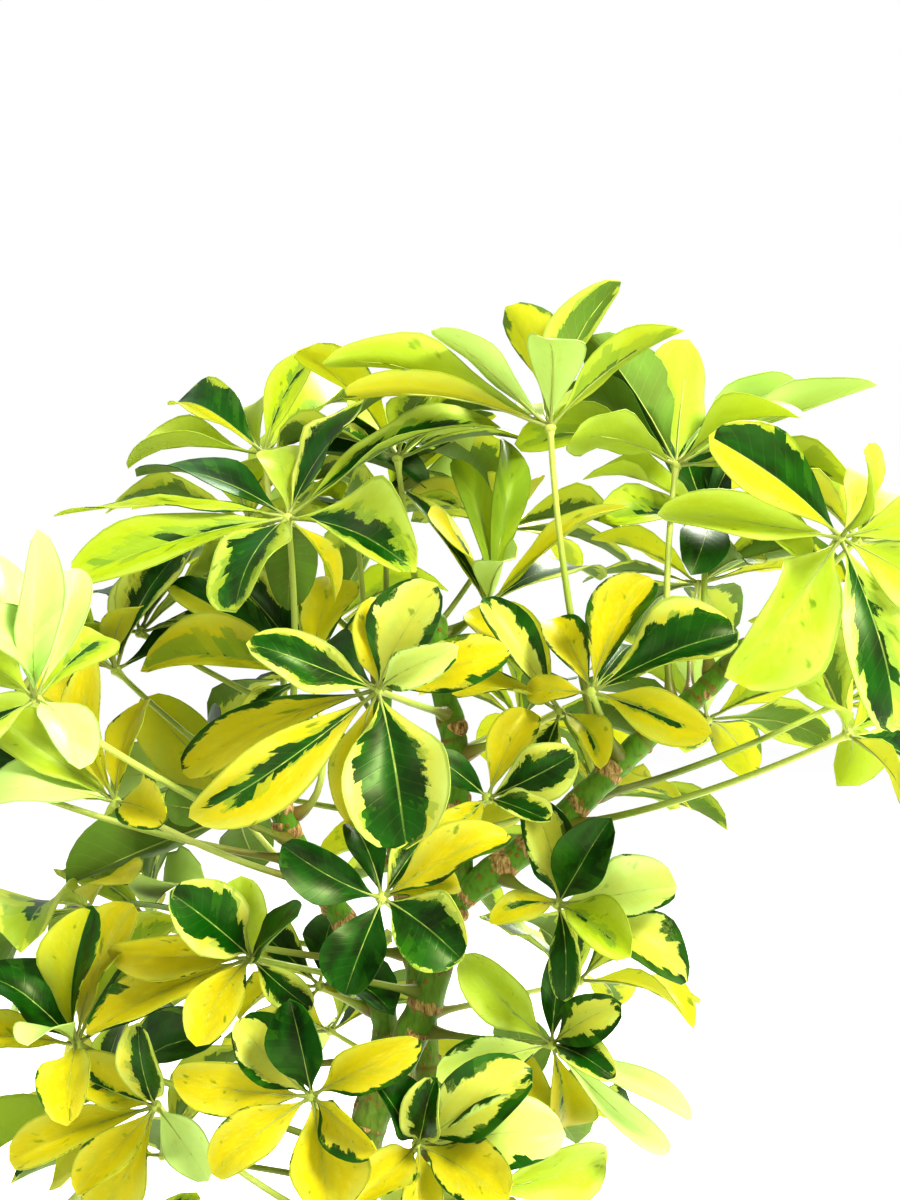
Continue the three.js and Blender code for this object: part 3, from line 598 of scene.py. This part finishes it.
def turned(vector, axis, degrees):
    return Quaternion(axis, math.radians(degrees)) @ vector


# Whorls: angle of evenly set leaflets from the axis and its play, play round it, shortest length and its play,
# how the axis of the other leaves leans out and up, and the arch, fold and roll of every leaflet
whorlShape = {
    "polar": 66, "polarPlay": 26, "turnPlay": 0.35, "shortest": 0.82, "lengthPlay": 0.3, "leanOut": 0.55,
    "leanUp": 0.8, "arch": (0.04, 0.13), "fold": (0.08, 0.24), "roll": (-0.3, 0.3),
}


def ringTip(leaf, i, turn, tilt, size):
    shape, axis = whorlShape, leaf["axis"]
    level = Vector((1, 0, 0)) if abs(axis.z) > 0.9 else Vector((0, 0, 1))
    polar = shape["polar"] + shape["polarPlay"] * tilt
    angle = 360 * (i + shape["turnPlay"] * turn) / len(leaf["kinds"])
    arm = turned(turned(axis, axis.cross(level).normalized(), polar), axis, angle)
    return arm * leaf["tips"] * mm * (shape["shortest"] + shape["lengthPlay"] * size) + leaf["hub"]


def plannedLeaves():
    shape = whorlShape
    leaves = []
    for stem, foot, hub, axis, kinds, tips in frontLeaves:
        leaves.append({"stem": stems[stem], "foot": foot * mm, "hub": seenAt(*hub), "depth": hub[2],
                       "axis": Vector(axis).normalized(), "kinds": kinds, "tips": tips})
    for stem, foot, heading, rise, reach, count, size in roundLeaves:
        heading, rise, reach = math.radians(heading), math.radians(rise), reach * mm
        flat = reach * math.cos(rise)
        out = Vector((flat * math.cos(heading), flat * math.sin(heading), reach * math.sin(rise)))
        curve = stems[stem]["curve"]
        start = curve.point(curve.partAtHeight(foot * mm))
        axis = (out.normalized() * shape["leanOut"] + Vector((0, 0, shape["leanUp"]))).normalized()
        leaves.append({"stem": stems[stem], "foot": foot * mm, "hub": start + out, "axis": axis,
                       "kinds": None, "tips": size, "count": count})
    for number, leaf in enumerate(leaves):
        draws = drawsOf(number + 1)
        chance = random.Random(number + 40)
        if leaf["kinds"] is None:
            leaf["kinds"] = "".join(chance.choice(roundKinds) for _ in range(leaf["count"]))
        leaf["placed"] = isinstance(leaf["tips"], tuple)
        leaf["leaflets"] = []
        for i, kind in enumerate(leaf["kinds"]):
            turn, tilt, size, arch, fold, roll = (next(draws) for _ in range(6))
            width = None
            if leaf["placed"]:
                x, z, depth, *widths = leaf["tips"][i]
                tip = seenAt(x, z, leaf["depth"] + depth)
                width = widths[0] * mm if widths else None
            else:
                tip = ringTip(leaf, i, turn, tilt, size)
            leaf["leaflets"].append({
                "tip": tip, "width": width, "kind": kind, "seed": chance.random(),
                "arch": mix(*shape["arch"], arch), "fold": mix(*shape["fold"], fold),
                "roll": mix(*shape["roll"], roll),
            })
    return leaves


# Bends that the solids' leaflets and stalks may have taken to stand clear of each other, as a lift and a swing in
# degrees for a leaflet and in hundredths of its reach for a stalk
bends = [(size * math.cos(i * math.pi / 4), size * math.sin(i * math.pi / 4))
         for size in (0, 7, 14, 21, 29, 38) for i in range(8 if size else 1)]

# Stalks of the solids: where each bow is, how far out and its share of the bend, radii at foot and tip, and rings
solidStalk = {"bows": ((0.3, 0.07, 1), (0.72, 0.04, 0.6)), "radii": (1.7 * 1.25, 1.7),
              "rings": (0.2, 0.4, 0.6, 0.8)}


def bentTip(leaf, tip, lift, swing):
    arm = tip - leaf["hub"]
    arm = turned(arm, leaf["axis"].cross(arm).normalized(), -lift)
    arm = turned(arm, leaf["axis"], swing)
    return arm * (1 - math.hypot(lift, swing) * 0.005) + leaf["hub"]


def stalkPath(leaf, lift, swing):
    curve = leaf["stem"]["curve"]
    part = curve.partAtHeight(leaf["foot"])
    foot, along = curve.point(part), curve.heading(part)
    way = leaf["hub"] - foot
    reach = way.length
    out = (way - along * way.dot(along)).normalized()
    side = out.cross(along).normalized()
    start = foot + out * stemRadius(leaf["stem"], part) * 0.6
    bows = []
    for at, outwards, bend in solidStalk["bows"]:
        sway = (along * lift + side * swing) * bend * reach / 100
        bows.append(start.lerp(leaf["hub"], at) + out * reach * outwards + sway)
    return Path(bowed(start, *bows, leaf["hub"]))


# The bends that a leaf's own solid shows: its stalk's rings and its leaflets' tips are corners of that node
def readBends(leaf, node):
    corners = [vertex.co for vertex in node.data.vertices]
    tree = kdtree.KDTree(len(corners))
    for i, corner in enumerate(corners):
        tree.insert(corner, i)
    tree.balance()

    def misfit(bend):
        path = stalkPath(leaf, *bend)
        gaps = []
        for part in solidStalk["rings"]:
            radius = mix(*solidStalk["radii"], part) * mm
            gaps += [abs(found[2] - radius) for found in tree.find_n(path.point(part), 3)]
        return sum(gaps)
    leaf["stalk"] = stalkPath(leaf, *min(bends, key=misfit))
    for leaflet in leaf["leaflets"]:
        tips = [bentTip(leaf, leaflet["tip"], *bend) for bend in bends]
        gap, place = min((tree.find(tip)[2], i) for i, tip in enumerate(tips))
        leaflet["tip"] = tips[place] if gap < 0.1 * mm else None


leaves = plannedLeaves()
for number, leaf in enumerate(leaves, 1):
    readBends(leaf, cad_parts[f"leaf_{number:02d}"])
missing = sum(leaflet["tip"] is None for leaf in leaves for leaflet in leaf["leaflets"])
print(f"{len(leaves)} leaves read, {missing} leaflets without room")


def newObject(name, bm, materials=()):
    mesh = bpy.data.meshes.new(name)
    bm.to_mesh(mesh)
    bm.free()
    for material in materials:
        mesh.materials.append(material)
    made = bpy.data.objects.new(name, mesh)
    scene.collection.objects.link(made)
    return made


def newPiece(name, bm, materials, nodes):
    piece = newObject(name, bm, materials)
    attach(piece, "root")
    if nodes:
        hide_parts(*nodes)
    return piece


weld = 0.01 * mm        # corners closer than this become one
upright = Vector((0, 0, 1))


# A list without repeats in its first order, which a set doesn't keep from run to run
def once(parts):
    return list(dict.fromkeys(parts))


def facesAt(verts):
    return once(face for vert in verts for face in vert.link_faces)


def partsOf(geom, kind):
    return [part for part in geom if isinstance(part, kind)]


def smoothed(faces, slot=0):
    for face in faces:
        face.smooth = True
        face.material_index = slot


# Vertex layers that the leaf and stem finishes read
def addLayers(bm):
    return {name: bm.verts.layers.float_vector.new(name) for name in ("place", "pattern", "tint", "bark")}


# A round closed tube along the stations: centre, heading and radius of each. mark() gives each ring its layers.
def addTube(bm, stations, sides, slot, mark):
    turn, heading = Quaternion(), upright
    faces, edges, verts = [], [], []
    for i, (centre, ahead, radius) in enumerate(stations):
        turn = heading.rotation_difference(ahead) @ turn
        heading = turn @ upright
        after = Matrix.LocRotScale(centre, turn, Vector((radius, radius, radius)))
        if i == 0:
            verts = bmesh.ops.create_circle(bm, cap_ends=False, segments=sides, radius=1, matrix=after)["verts"]
            edges = once(edge for vert in verts for edge in vert.link_edges)
            faces = bmesh.ops.edgeloop_fill(bm, edges=edges)["faces"]
        else:
            grown = bmesh.ops.extrude_edge_only(bm, edges=edges)["geom"]
            verts = partsOf(grown, bmesh.types.BMVert)
            faces += partsOf(grown, bmesh.types.BMFace)
            edges = [edge for edge in partsOf(grown, bmesh.types.BMEdge) if set(edge.verts) <= set(verts)]
            bmesh.ops.transform(bm, matrix=after @ before.inverted(), verts=verts)
        for vert in verts:
            mark(vert, i)
        before = after
    faces += bmesh.ops.edgeloop_fill(bm, edges=edges)["faces"]
    bmesh.ops.recalc_face_normals(bm, faces=faces)
    smoothed(faces, slot)


# Leaflets: columns and rows of the front's blades and of the others, the ranges that a shape is drawn from, and
# the rib's radii along it
bladeLook = {
    "front": (6, 15), "round": (4, 10), "neck": 0.05, "widthPart": 0.44, "thickness": 0.45 * mm,
    "wedge": (0.28, 1.6), "widest": 1.55, "roundness": (0.38, 0.52), "wave": (0.02, 0.2), "waveTurns": (1.0, 2.6),
    "curl": (-0.04, 0.13), "curlFrom": 0.6, "cup": (-0.12, 0.5), "twist": (-0.9, 0.9), "twistFrom": 0.35,
    "bow": (-0.045, 0.045), "phase": (0, 6.3), "lopsided": (-0.1, 0.1), "outline": (0, 0.05), "outlineWaves": 11,
    "oddFold": (-0.3, 3.2), "foldRound": 1.5 * mm,
    "ribSunk": 0.6, "ribs": ((0.0, 1.6), (0.04, 1.2), (0.1, 0.9), (0.19, 0.75), (0.34, 0.6), (0.54, 0.42),
                             (0.74, 0.28), (0.9, 0.1)),
}
topSlot, underSlot, stalkSlot = 0, 1, 2


# Half width along a blade: a long wedge at the foot, widest past the middle, and a round end
def bladeWidth(t, roundness):
    reach, power = bladeLook["wedge"]
    wedge = 1 - math.exp(-(t / reach) ** power)
    return max(math.sin(math.pi * t ** bladeLook["widest"]), 0) ** roundness * wedge


def addLeaflet(bm, layers, leaf, leaflet):
    look = bladeLook
    chance = random.Random(leaflet["seed"])
    arm = leaflet["tip"] - leaf["hub"]
    length = arm.length
    along = arm.normalized()
    up = (leaf["axis"] - along * leaf["axis"].dot(along)).normalized()
    up = Quaternion(along, leaflet["roll"]) @ up
    side = along.cross(up)
    halfWidth = (leaflet["width"] or length * look["widthPart"]) / 2
    roundness, wave, waveTurns, curl, cup, twist, bow, phase, phaseToo, lopsided, outline = (
        chance.uniform(*look[name]) for name in ("roundness", "wave", "waveTurns", "curl", "cup", "twist", "bow",
                                                 "phase", "phase", "lopsided", "outline"))
    folds = {half: leaflet["fold"] * (1 + chance.uniform(*look["oddFold"])) for half in (-1, 1)}
    # A leaflet that already hangs back along its stalk curls less
    curl = curl * length * min(1, 1 + along.dot(leaf["axis"]))

    def curledBy(t):
        return curl * max(0, (t - look["curlFrom"]) / (1 - look["curlFrom"])) ** 2

    def placed(t, across, raised):
        turn = Quaternion(along, twist * (t - look["twistFrom"]))
        arch = 4 * t * (1 - t)
        spine = side * (bow * length * arch) + up * (max(0, arch) * leaflet["arch"] * length)
        return leaf["hub"] + along * (t * length) + spine + turn @ (side * across + up * raised)

    columns, rows = look["front" if leaf["placed"] else "round"]
    grid = bmesh.ops.create_grid(bm, x_segments=columns, y_segments=rows, size=1)["verts"]
    faces = facesAt(grid)
    pattern = leafletKinds[leaflet["kind"]]
    for vert in grid:
        x = vert.co.x
        t = mix(look["neck"], 1, eased((vert.co.y + 1) / 2, 0.6))
        half = 1 if x > 0 else -1
        wobble = outline * math.sin(t * look["outlineWaves"] + phase * half)
        across = x * halfWidth * bladeWidth(t, roundness) * (1 + lopsided * half + wobble)
        folded = (math.hypot(across, look["foldRound"]) - look["foldRound"]) * folds[half]
        ripple = math.sin(waveTurns * math.tau * t + (phase if x > 0 else phaseToo)) * math.sin(math.pi * t)
        raised = folded + cup * across * across / halfWidth + wave * halfWidth * x * x * ripple
        vert.co = placed(t, across, raised - curledBy(t))
        vert[layers["place"]] = (x, t, leaflet["seed"])
        vert[layers["pattern"]] = pattern[:3]
        vert[layers["tint"]] = pattern[3:]
    bmesh.ops.remove_doubles(bm, verts=grid, dist=weld)
    faces = [face for face in faces if face.is_valid]
    for face in faces:
        face.normal_update()
    shell = bmesh.ops.solidify(bm, geom=faces, thickness=look["thickness"])["geom"]
    shell = once(partsOf(shell, bmesh.types.BMFace) + faces)
    bmesh.ops.recalc_face_normals(bm, faces=shell)
    smoothed(shell, topSlot)
    for face in shell:
        if face.normal.dot(up) < -0.3:
            face.material_index = underSlot
        for edge in face.edges:
            edge.smooth = edge.calc_face_angle(0) < 1

    def mark(vert, i):
        vert[layers["place"]] = (0.3, mix(0.5, 1, look["ribs"][i][0]), 0.2)
    stations = []
    for part, radius in look["ribs"]:
        sunk = radius * mm * look["ribSunk"] if part > look["neck"] else 0
        ahead = placed(part + 0.02, 0, 0) - placed(part, 0, 0)
        stations.append((placed(part, 0, -sunk - curledBy(part)), ahead.normalized(), radius * mm))
    addTube(bm, stations, 5, stalkSlot, mark)


# Stalks: thickness, the flare that clasps the stem, the widening under the whorl, and the knob in its middle
stalkForm = {"sides": 7, "rings": 16, "low": 1.95, "high": 1.45, "foot": 2.7, "footReach": 9, "top": 1.3,
             "topReach": 3.5, "cream": 0.9, "knob": 3.2}


def addStalk(bm, layers, leaf):
    form = stalkForm
    path = leaf["stalk"]
    seed = leaf["leaflets"][0]["seed"]
    parts = [eased(i / form["rings"], 0.7) for i in range(form["rings"] + 1)]
    stations = []
    for part in parts:
        radius = mix(form["low"], form["high"], part)
        radius += form["foot"] * nearness(part * path.length / mm, 0, form["footReach"])
        radius += form["top"] * nearness((1 - part) * path.length / mm, 0, form["topReach"])
        stations.append((path.point(part), path.heading(part), radius * mm))

    def mark(vert, i):
        vert[layers["place"]] = (form["cream"] * seed * parts[i], parts[i], seed)
    addTube(bm, stations, form["sides"], stalkSlot, mark)
    size = Vector((1, 1, 0.8)) * form["knob"] * mm
    place = Matrix.LocRotScale(leaf["hub"], upright.rotation_difference(path.heading(1)), size)
    knob = bmesh.ops.create_uvsphere(bm, u_segments=8, v_segments=6, radius=1, matrix=place)["verts"]
    for vert in knob:
        vert[layers["place"]] = (0.2, 1, 0)
    smoothed(facesAt(knob), stalkSlot)


for number, leaf in enumerate(leaves, 1):
    bm = bmesh.new()
    layers = addLayers(bm)
    addStalk(bm, layers, leaf)
    for leaflet in leaf["leaflets"]:
        if leaflet["tip"] is not None:
            addLeaflet(bm, layers, leaf, leaflet)
    newPiece(f"whorl_{number:02d}", bm, [leafTop, leafUnder, stalkSkin], [f"leaf_{number:02d}"])
print("leaves made")


# Stems: rings left by fallen leaves, corky lumps at some of them, a swelling under each leaf, a bud at the tip
stemForm = {
    "sides": 20, "ringGap": 1.5, "inset": 0.35, "ends": 6, "buried": 20, "scarGap": (10, 27),
    "scarCrowding": (1.15, 0.6), "scarStrength": (0.5, 1.0), "scarWidth": 1.1, "scarRise": 0.25, "corkShare": 0.65,
    "corkStrength": (0.6, 1.0), "corkWidth": 4.2, "corkRise": 1.6, "corkGrain": 70, "woodTop": 565, "woodFade": 60,
    "knotBelow": 2, "knotWidth": 5, "knotRise": 0.7, "rough": 0.4, "roughGrain": 90, "swellGrain": 0.06,
    "flare": 2.6, "flareAt": 170, "flareReach": 16, "age": (1.2, -0.1), "ageFrom": 190, "ageReach": 270,
    "budLength": 9, "bud": ((0.25, 0.95), (0.5, 0.8), (0.75, 0.5), (1.0, 0.12)),
}

# Ledges of the leaf scars: half-moons on the bark, each a turn further round the stem than the one below
ledgeForm = {"from": 60, "gap": (13, 24), "turn": 137.5, "span": (38, 62), "tall": (1.8, 3.4), "bulge": (1.3, 2.2),
             "droop": 2.2}


def addLedge(bm, layers, stem, at, turn, chance):
    form, curve = ledgeForm, stem["curve"]
    span, tall, bulge = (chance.uniform(*form[key]) for key in ("span", "tall", "bulge"))
    ball = bmesh.ops.create_uvsphere(bm, u_segments=14, v_segments=8, radius=1)["verts"]
    for vert in ball:
        x, y, z = vert.co
        part = (at + y * tall + x * x * form["droop"]) * mm / curve.length
        heading = curve.heading(part)
        out = turned(heading.cross(Vector((1, 0, 0))).normalized(), heading, turn + x * span)
        vert.co = curve.point(part) + out * (stemRadius(stem, part) + (z * bulge - 0.4) * mm)
        vert[layers["bark"]] = (0.4, 0.5, 1.1)
    smoothed(facesAt(ball))


def addStem(bm, layers, name, seed):
    form, stem = stemForm, stems[name]
    curve = stem["curve"]
    length = curve.length / mm
    chance = random.Random(seed)
    scars = []
    at = form["buried" if stem["rooted"] else "ends"]
    while at < length - form["ends"]:
        corky = chance.random() < form["corkShare"]
        strength = chance.uniform(*form["scarStrength"])
        scars.append((at, strength, chance.uniform(*form["corkStrength"]) if corky else 0))
        at += chance.uniform(*form["scarGap"]) * mix(*form["scarCrowding"], at / length)
    knots = [curve.partAtHeight(leaf["foot"]) * length for leaf in leaves if leaf["stem"] is stem]
    count = int(length / form["ringGap"])
    stations, marks = [], []
    for i in range(count + 1):
        part = i / count
        at = part * length
        centre = curve.point(part)
        height = centre.z / mm
        scar = max(strength * nearness(at, place, form["scarWidth"]) for place, strength, _ in scars)
        cork = max(lump * nearness(at, place, form["corkWidth"]) for place, _, lump in scars)
        cork *= held((form["woodTop"] - height) / form["woodFade"])
        knot = max((nearness(at, place - form["knotBelow"], form["knotWidth"]) for place in knots), default=0)
        radius = stemRadius(stem, part) / mm - form["inset"] + scar * form["scarRise"] + knot * form["knotRise"]
        if stem["rooted"]:
            radius += form["flare"] * nearness(height, form["flareAt"], form["flareReach"])
        radius += form["rough"] * noise.noise(Vector((at * form["swellGrain"], seed, 0)))
        stations.append((centre, curve.heading(part), radius * mm))
        marks.append((scar, mix(*form["age"], held((height - form["ageFrom"]) / form["ageReach"])), cork))
    tip, heading, radius = stations[-1]
    for rise, narrow in form["bud"]:
        stations.append((tip + heading * form["budLength"] * mm * rise, heading, radius * narrow))
        marks.append((0.15, -0.4, 0))

    def mark(vert, i):
        vert[layers["bark"]] = marks[i]
    addTube(bm, stations, form["sides"], 0, mark)
    at, turn = ledgeForm["from"], 30 * seed
    while at < length and curve.point(at / length).z < form["woodTop"] * mm:
        addLedge(bm, layers, stem, at, turn, chance)
        at += chance.uniform(*ledgeForm["gap"])
        turn += ledgeForm["turn"]


stemPieces = {"main_stem": ("main", "right"), "left_stem": ("left",), "back_stem": ("back",)}
for seed, (name, members) in enumerate(stemPieces.items(), 1):
    bm = bmesh.new()
    layers = addLayers(bm)
    for member in members:
        addStem(bm, layers, member, seed * 3 + len(member))
    bmesh.ops.recalc_face_normals(bm, faces=bm.faces)
    bm.normal_update()
    for vert in bm.verts:
        lumps = stemForm["rough"] * noise.noise(vert.co * stemForm["roughGrain"])
        corky = max(0, 0.3 + noise.noise(vert.co * stemForm["corkGrain"]))
        lumps += stemForm["corkRise"] * vert[layers["bark"]].z * corky
        vert.co += vert.normal * lumps * mm
    newPiece("bark_" + name, bm, [stemBark], [name])
print("stems made")


# A chain of corners at radii and heights, which spun() turns into a round shell
def addChain(bm, corners):
    verts = [bm.verts.new((radius * mm, 0, height * mm)) for radius, height in corners]
    for pair in zip(verts, verts[1:]):
        bm.edges.new(pair)
    return verts


def spun(bm, steps):
    bmesh.ops.spin(bm, geom=bm.verts[:] + bm.edges[:], cent=(0, 0, 0), axis=(0, 0, 1), dvec=(0, 0, 0),
                   angle=math.tau, steps=steps, use_merge=True)
    bmesh.ops.remove_doubles(bm, verts=bm.verts, dist=weld)


# Pot: half profile turned into a round shell, with drain holes cut through its floor
potForm = {
    "height": 190, "foot": 80, "band": 105, "rim": 110, "bandHeight": 38, "wall": 9, "floor": 12, "innerRim": 100,
    "edge": 2, "round": 1.2, "long": 30, "cuts": 8, "turnSteps": 96, "sharpFrom": 0.6, "drainRadius": 7,
    "drainCircle": 42, "drainCount": 4,
}


# Radius of the pot's hollow at a height
def hollowAt(height):
    top, floor = potForm["height"] - potForm["edge"], potForm["floor"]
    return mix(potForm["foot"] - potForm["wall"], potForm["innerRim"], (height - floor) / (top - floor))


def potPiece():
    form = potForm
    height, foot, rim, edge = form["height"], form["foot"], form["rim"], form["edge"]
    bandLow = height - form["bandHeight"]
    outerAtBand = mix(foot, rim - form["wall"], bandLow / height)
    bm = bmesh.new()
    corners = addChain(bm, [
        (0, 0), (foot - edge, 0), (foot, edge), (outerAtBand, bandLow - edge), (form["band"], bandLow),
        (rim, height - edge * 1.5), (rim - edge, height), (form["innerRim"] + edge, height),
        (form["innerRim"], height - edge), (foot - form["wall"], form["floor"]), (0, form["floor"]),
    ])
    bmesh.ops.bevel(bm, geom=corners[3:9], offset=form["round"] * mm, offset_type="OFFSET", segments=3,
                    profile=0.5, affect="VERTICES", material=-1)
    long = [line for line in bm.edges if line.calc_length() > form["long"] * mm]
    bmesh.ops.subdivide_edges(bm, edges=long, cuts=form["cuts"])
    spun(bm, form["turnSteps"])
    bmesh.ops.recalc_face_normals(bm, faces=bm.faces)
    smoothed(bm.faces)
    for line in bm.edges:
        line.smooth = line.calc_face_angle(0) < form["sharpFrom"]
    pot = newPiece("clay_pot", bm, [firedClay], ["pot"])
    cutter = bmesh.new()
    for i in range(form["drainCount"]):
        angle = (i + 0.5) * math.tau / form["drainCount"]
        place = Vector((math.cos(angle), math.sin(angle), 0)) * form["drainCircle"] * mm
        radius = form["drainRadius"] * mm
        bmesh.ops.create_cone(cutter, cap_ends=True, segments=24, radius1=radius, radius2=radius, depth=60 * mm,
                              matrix=Matrix.Translation(place))
    drill = newObject("drill", cutter)
    holes = pot.modifiers.new("drain holes", "BOOLEAN")
    holes.operation = "DIFFERENCE"
    holes.object = drill
    bored = bpy.data.meshes.new_from_object(pot.evaluated_get(bpy.context.evaluated_depsgraph_get()))
    pot.modifiers.clear()
    pot.data = bored
    bpy.data.objects.remove(drill)


potPiece()
print("pot made")


# Soil: a crumbly crowned top inside the pot, calm towards its edge
soilForm = {"top": 174, "crown": 4, "reach": 98, "low": 12.3, "rings": 34, "turnSteps": 96, "lump": 2.2,
            "lumpGrain": 0.07, "calm": 8, "gap": 0.6, "strewn": 92, "ragged": 0.22}

# Grit and bark chips that lie on the soil
crumbForms = {
    "soil_grit": {"count": 150, "finish": paleGrit, "sizes": (1.0, 2.2), "flat": 0.9, "seed": 5},
    "soil_chips": {"count": 90, "finish": barkChip, "sizes": (2.2, 5.5), "flat": 0.35, "seed": 6},
}


def soilHeight(x, y):
    form = soilForm
    away = math.hypot(x, y) / form["reach"]
    rise = form["crown"] * max(0, 1 - away ** 2)
    lumps = noise.fractal(Vector((x, y, 0)) * form["lumpGrain"], 0.8, 2.1, 5) * form["lump"]
    return form["top"] + rise + lumps * held((1 - away) * form["calm"])


def soilPiece():
    form = soilForm
    wall = hollowAt(form["top"]) - form["gap"]
    bm = bmesh.new()
    addChain(bm, [(0, form["low"]), (hollowAt(potForm["floor"]) - form["gap"], form["low"])]
             + [(wall * (1 - i / form["rings"]), form["top"]) for i in range(form["rings"] + 1)])
    spun(bm, form["turnSteps"])
    for vert in bm.verts:
        if vert.co.z > form["top"] * mm / 2:
            vert.co.z = soilHeight(vert.co.x / mm, vert.co.y / mm) * mm
    bmesh.ops.recalc_face_normals(bm, faces=bm.faces)
    smoothed(bm.faces)
    newPiece("compost_bed", bm, [compost], ["soil"])


def crumbs(name, form):
    chance = random.Random(form["seed"])
    bm = bmesh.new()
    for _ in range(form["count"]):
        away, angle = soilForm["strewn"] * math.sqrt(chance.random()), chance.uniform(0, math.tau)
        x, y = away * math.cos(angle), away * math.sin(angle)
        size = chance.uniform(*form["sizes"]) * mm
        axis = [chance.gauss(0, 1) for _ in range(3)]
        spin = Quaternion(axis, chance.uniform(0, 3)).normalized()
        scale = Vector((size, size * 0.8, size * form["flat"]))
        place = Matrix.LocRotScale(Vector((x, y, soilHeight(x, y))) * mm, spin, scale)
        made = bmesh.ops.create_icosphere(bm, subdivisions=1, radius=1, matrix=place)["verts"]
        for vert in made:
            vert.co += Vector([chance.uniform(-1, 1) for _ in range(3)]) * size * soilForm["ragged"]
    bmesh.ops.recalc_face_normals(bm, faces=bm.faces)
    newPiece(name, bm, [form["finish"]], [])


soilPiece()
for name, form in crumbForms.items():
    crumbs(name, form)
print("soil made")


# Studio: pale floor, white surroundings, and lights with their place, size, power, reflections and colour
studio = {
    "floor": screen(250, 250, 250), "cloud": screen(240, 240, 240), "sky": (1, 1, 1, 1), "skyStrength": 1.0,
    "gamma": 0.79, "target": (0, 0, 0.5),
    "lights": {
        "key": ((1.2, -1.1, 1.9), 0.7, 88, 1.0, (1, 0.99, 0.96)),
        "behind": ((0.7, 1.4, 1.8), 1.0, 88, 0.2, (1, 1, 0.98)),
        "left": ((-1.5, -0.5, 1.3), 0.8, 8, 1.0, (1, 1, 1)),
    },
}


def addFloor():
    finish = Finish("studio floor")
    cloud = finish.noise(finish.objectSpot(), 2.0)
    shade = finish.mixed(cloud * 0.05, studio["floor"], studio["cloud"])
    shader = finish.add("ShaderNodeBsdfPrincipled", {}, {"Base Color": shade, "Roughness": 0.9})
    bm = bmesh.new()
    bmesh.ops.create_grid(bm, x_segments=1, y_segments=1, size=6)
    newObject("studio_floor", bm, [finish.finished(shader)])


def addLight(name, place, size, power, shine, colour):
    data = bpy.data.lights.new(name, "AREA")
    data.shape = "DISK"
    data.size = size
    data.energy = power
    data.color = colour
    data.specular_factor = shine
    light = bpy.data.objects.new(name, data)
    light.location = place
    light.rotation_euler = (Vector(studio["target"]) - Vector(place)).to_track_quat("-Z", "Y").to_euler()
    scene.collection.objects.link(light)


addFloor()
for name, values in studio["lights"].items():
    addLight(name, *values)
scene.world = bpy.data.worlds.new("white surroundings")
scene.world.use_nodes = True
background = scene.world.node_tree.nodes["Background"].inputs
background["Color"].default_value = studio["sky"]
background["Strength"].default_value = studio["skyStrength"]
scene.view_settings.view_transform = "Standard"
scene.view_settings.gamma = studio["gamma"]
print("studio set")
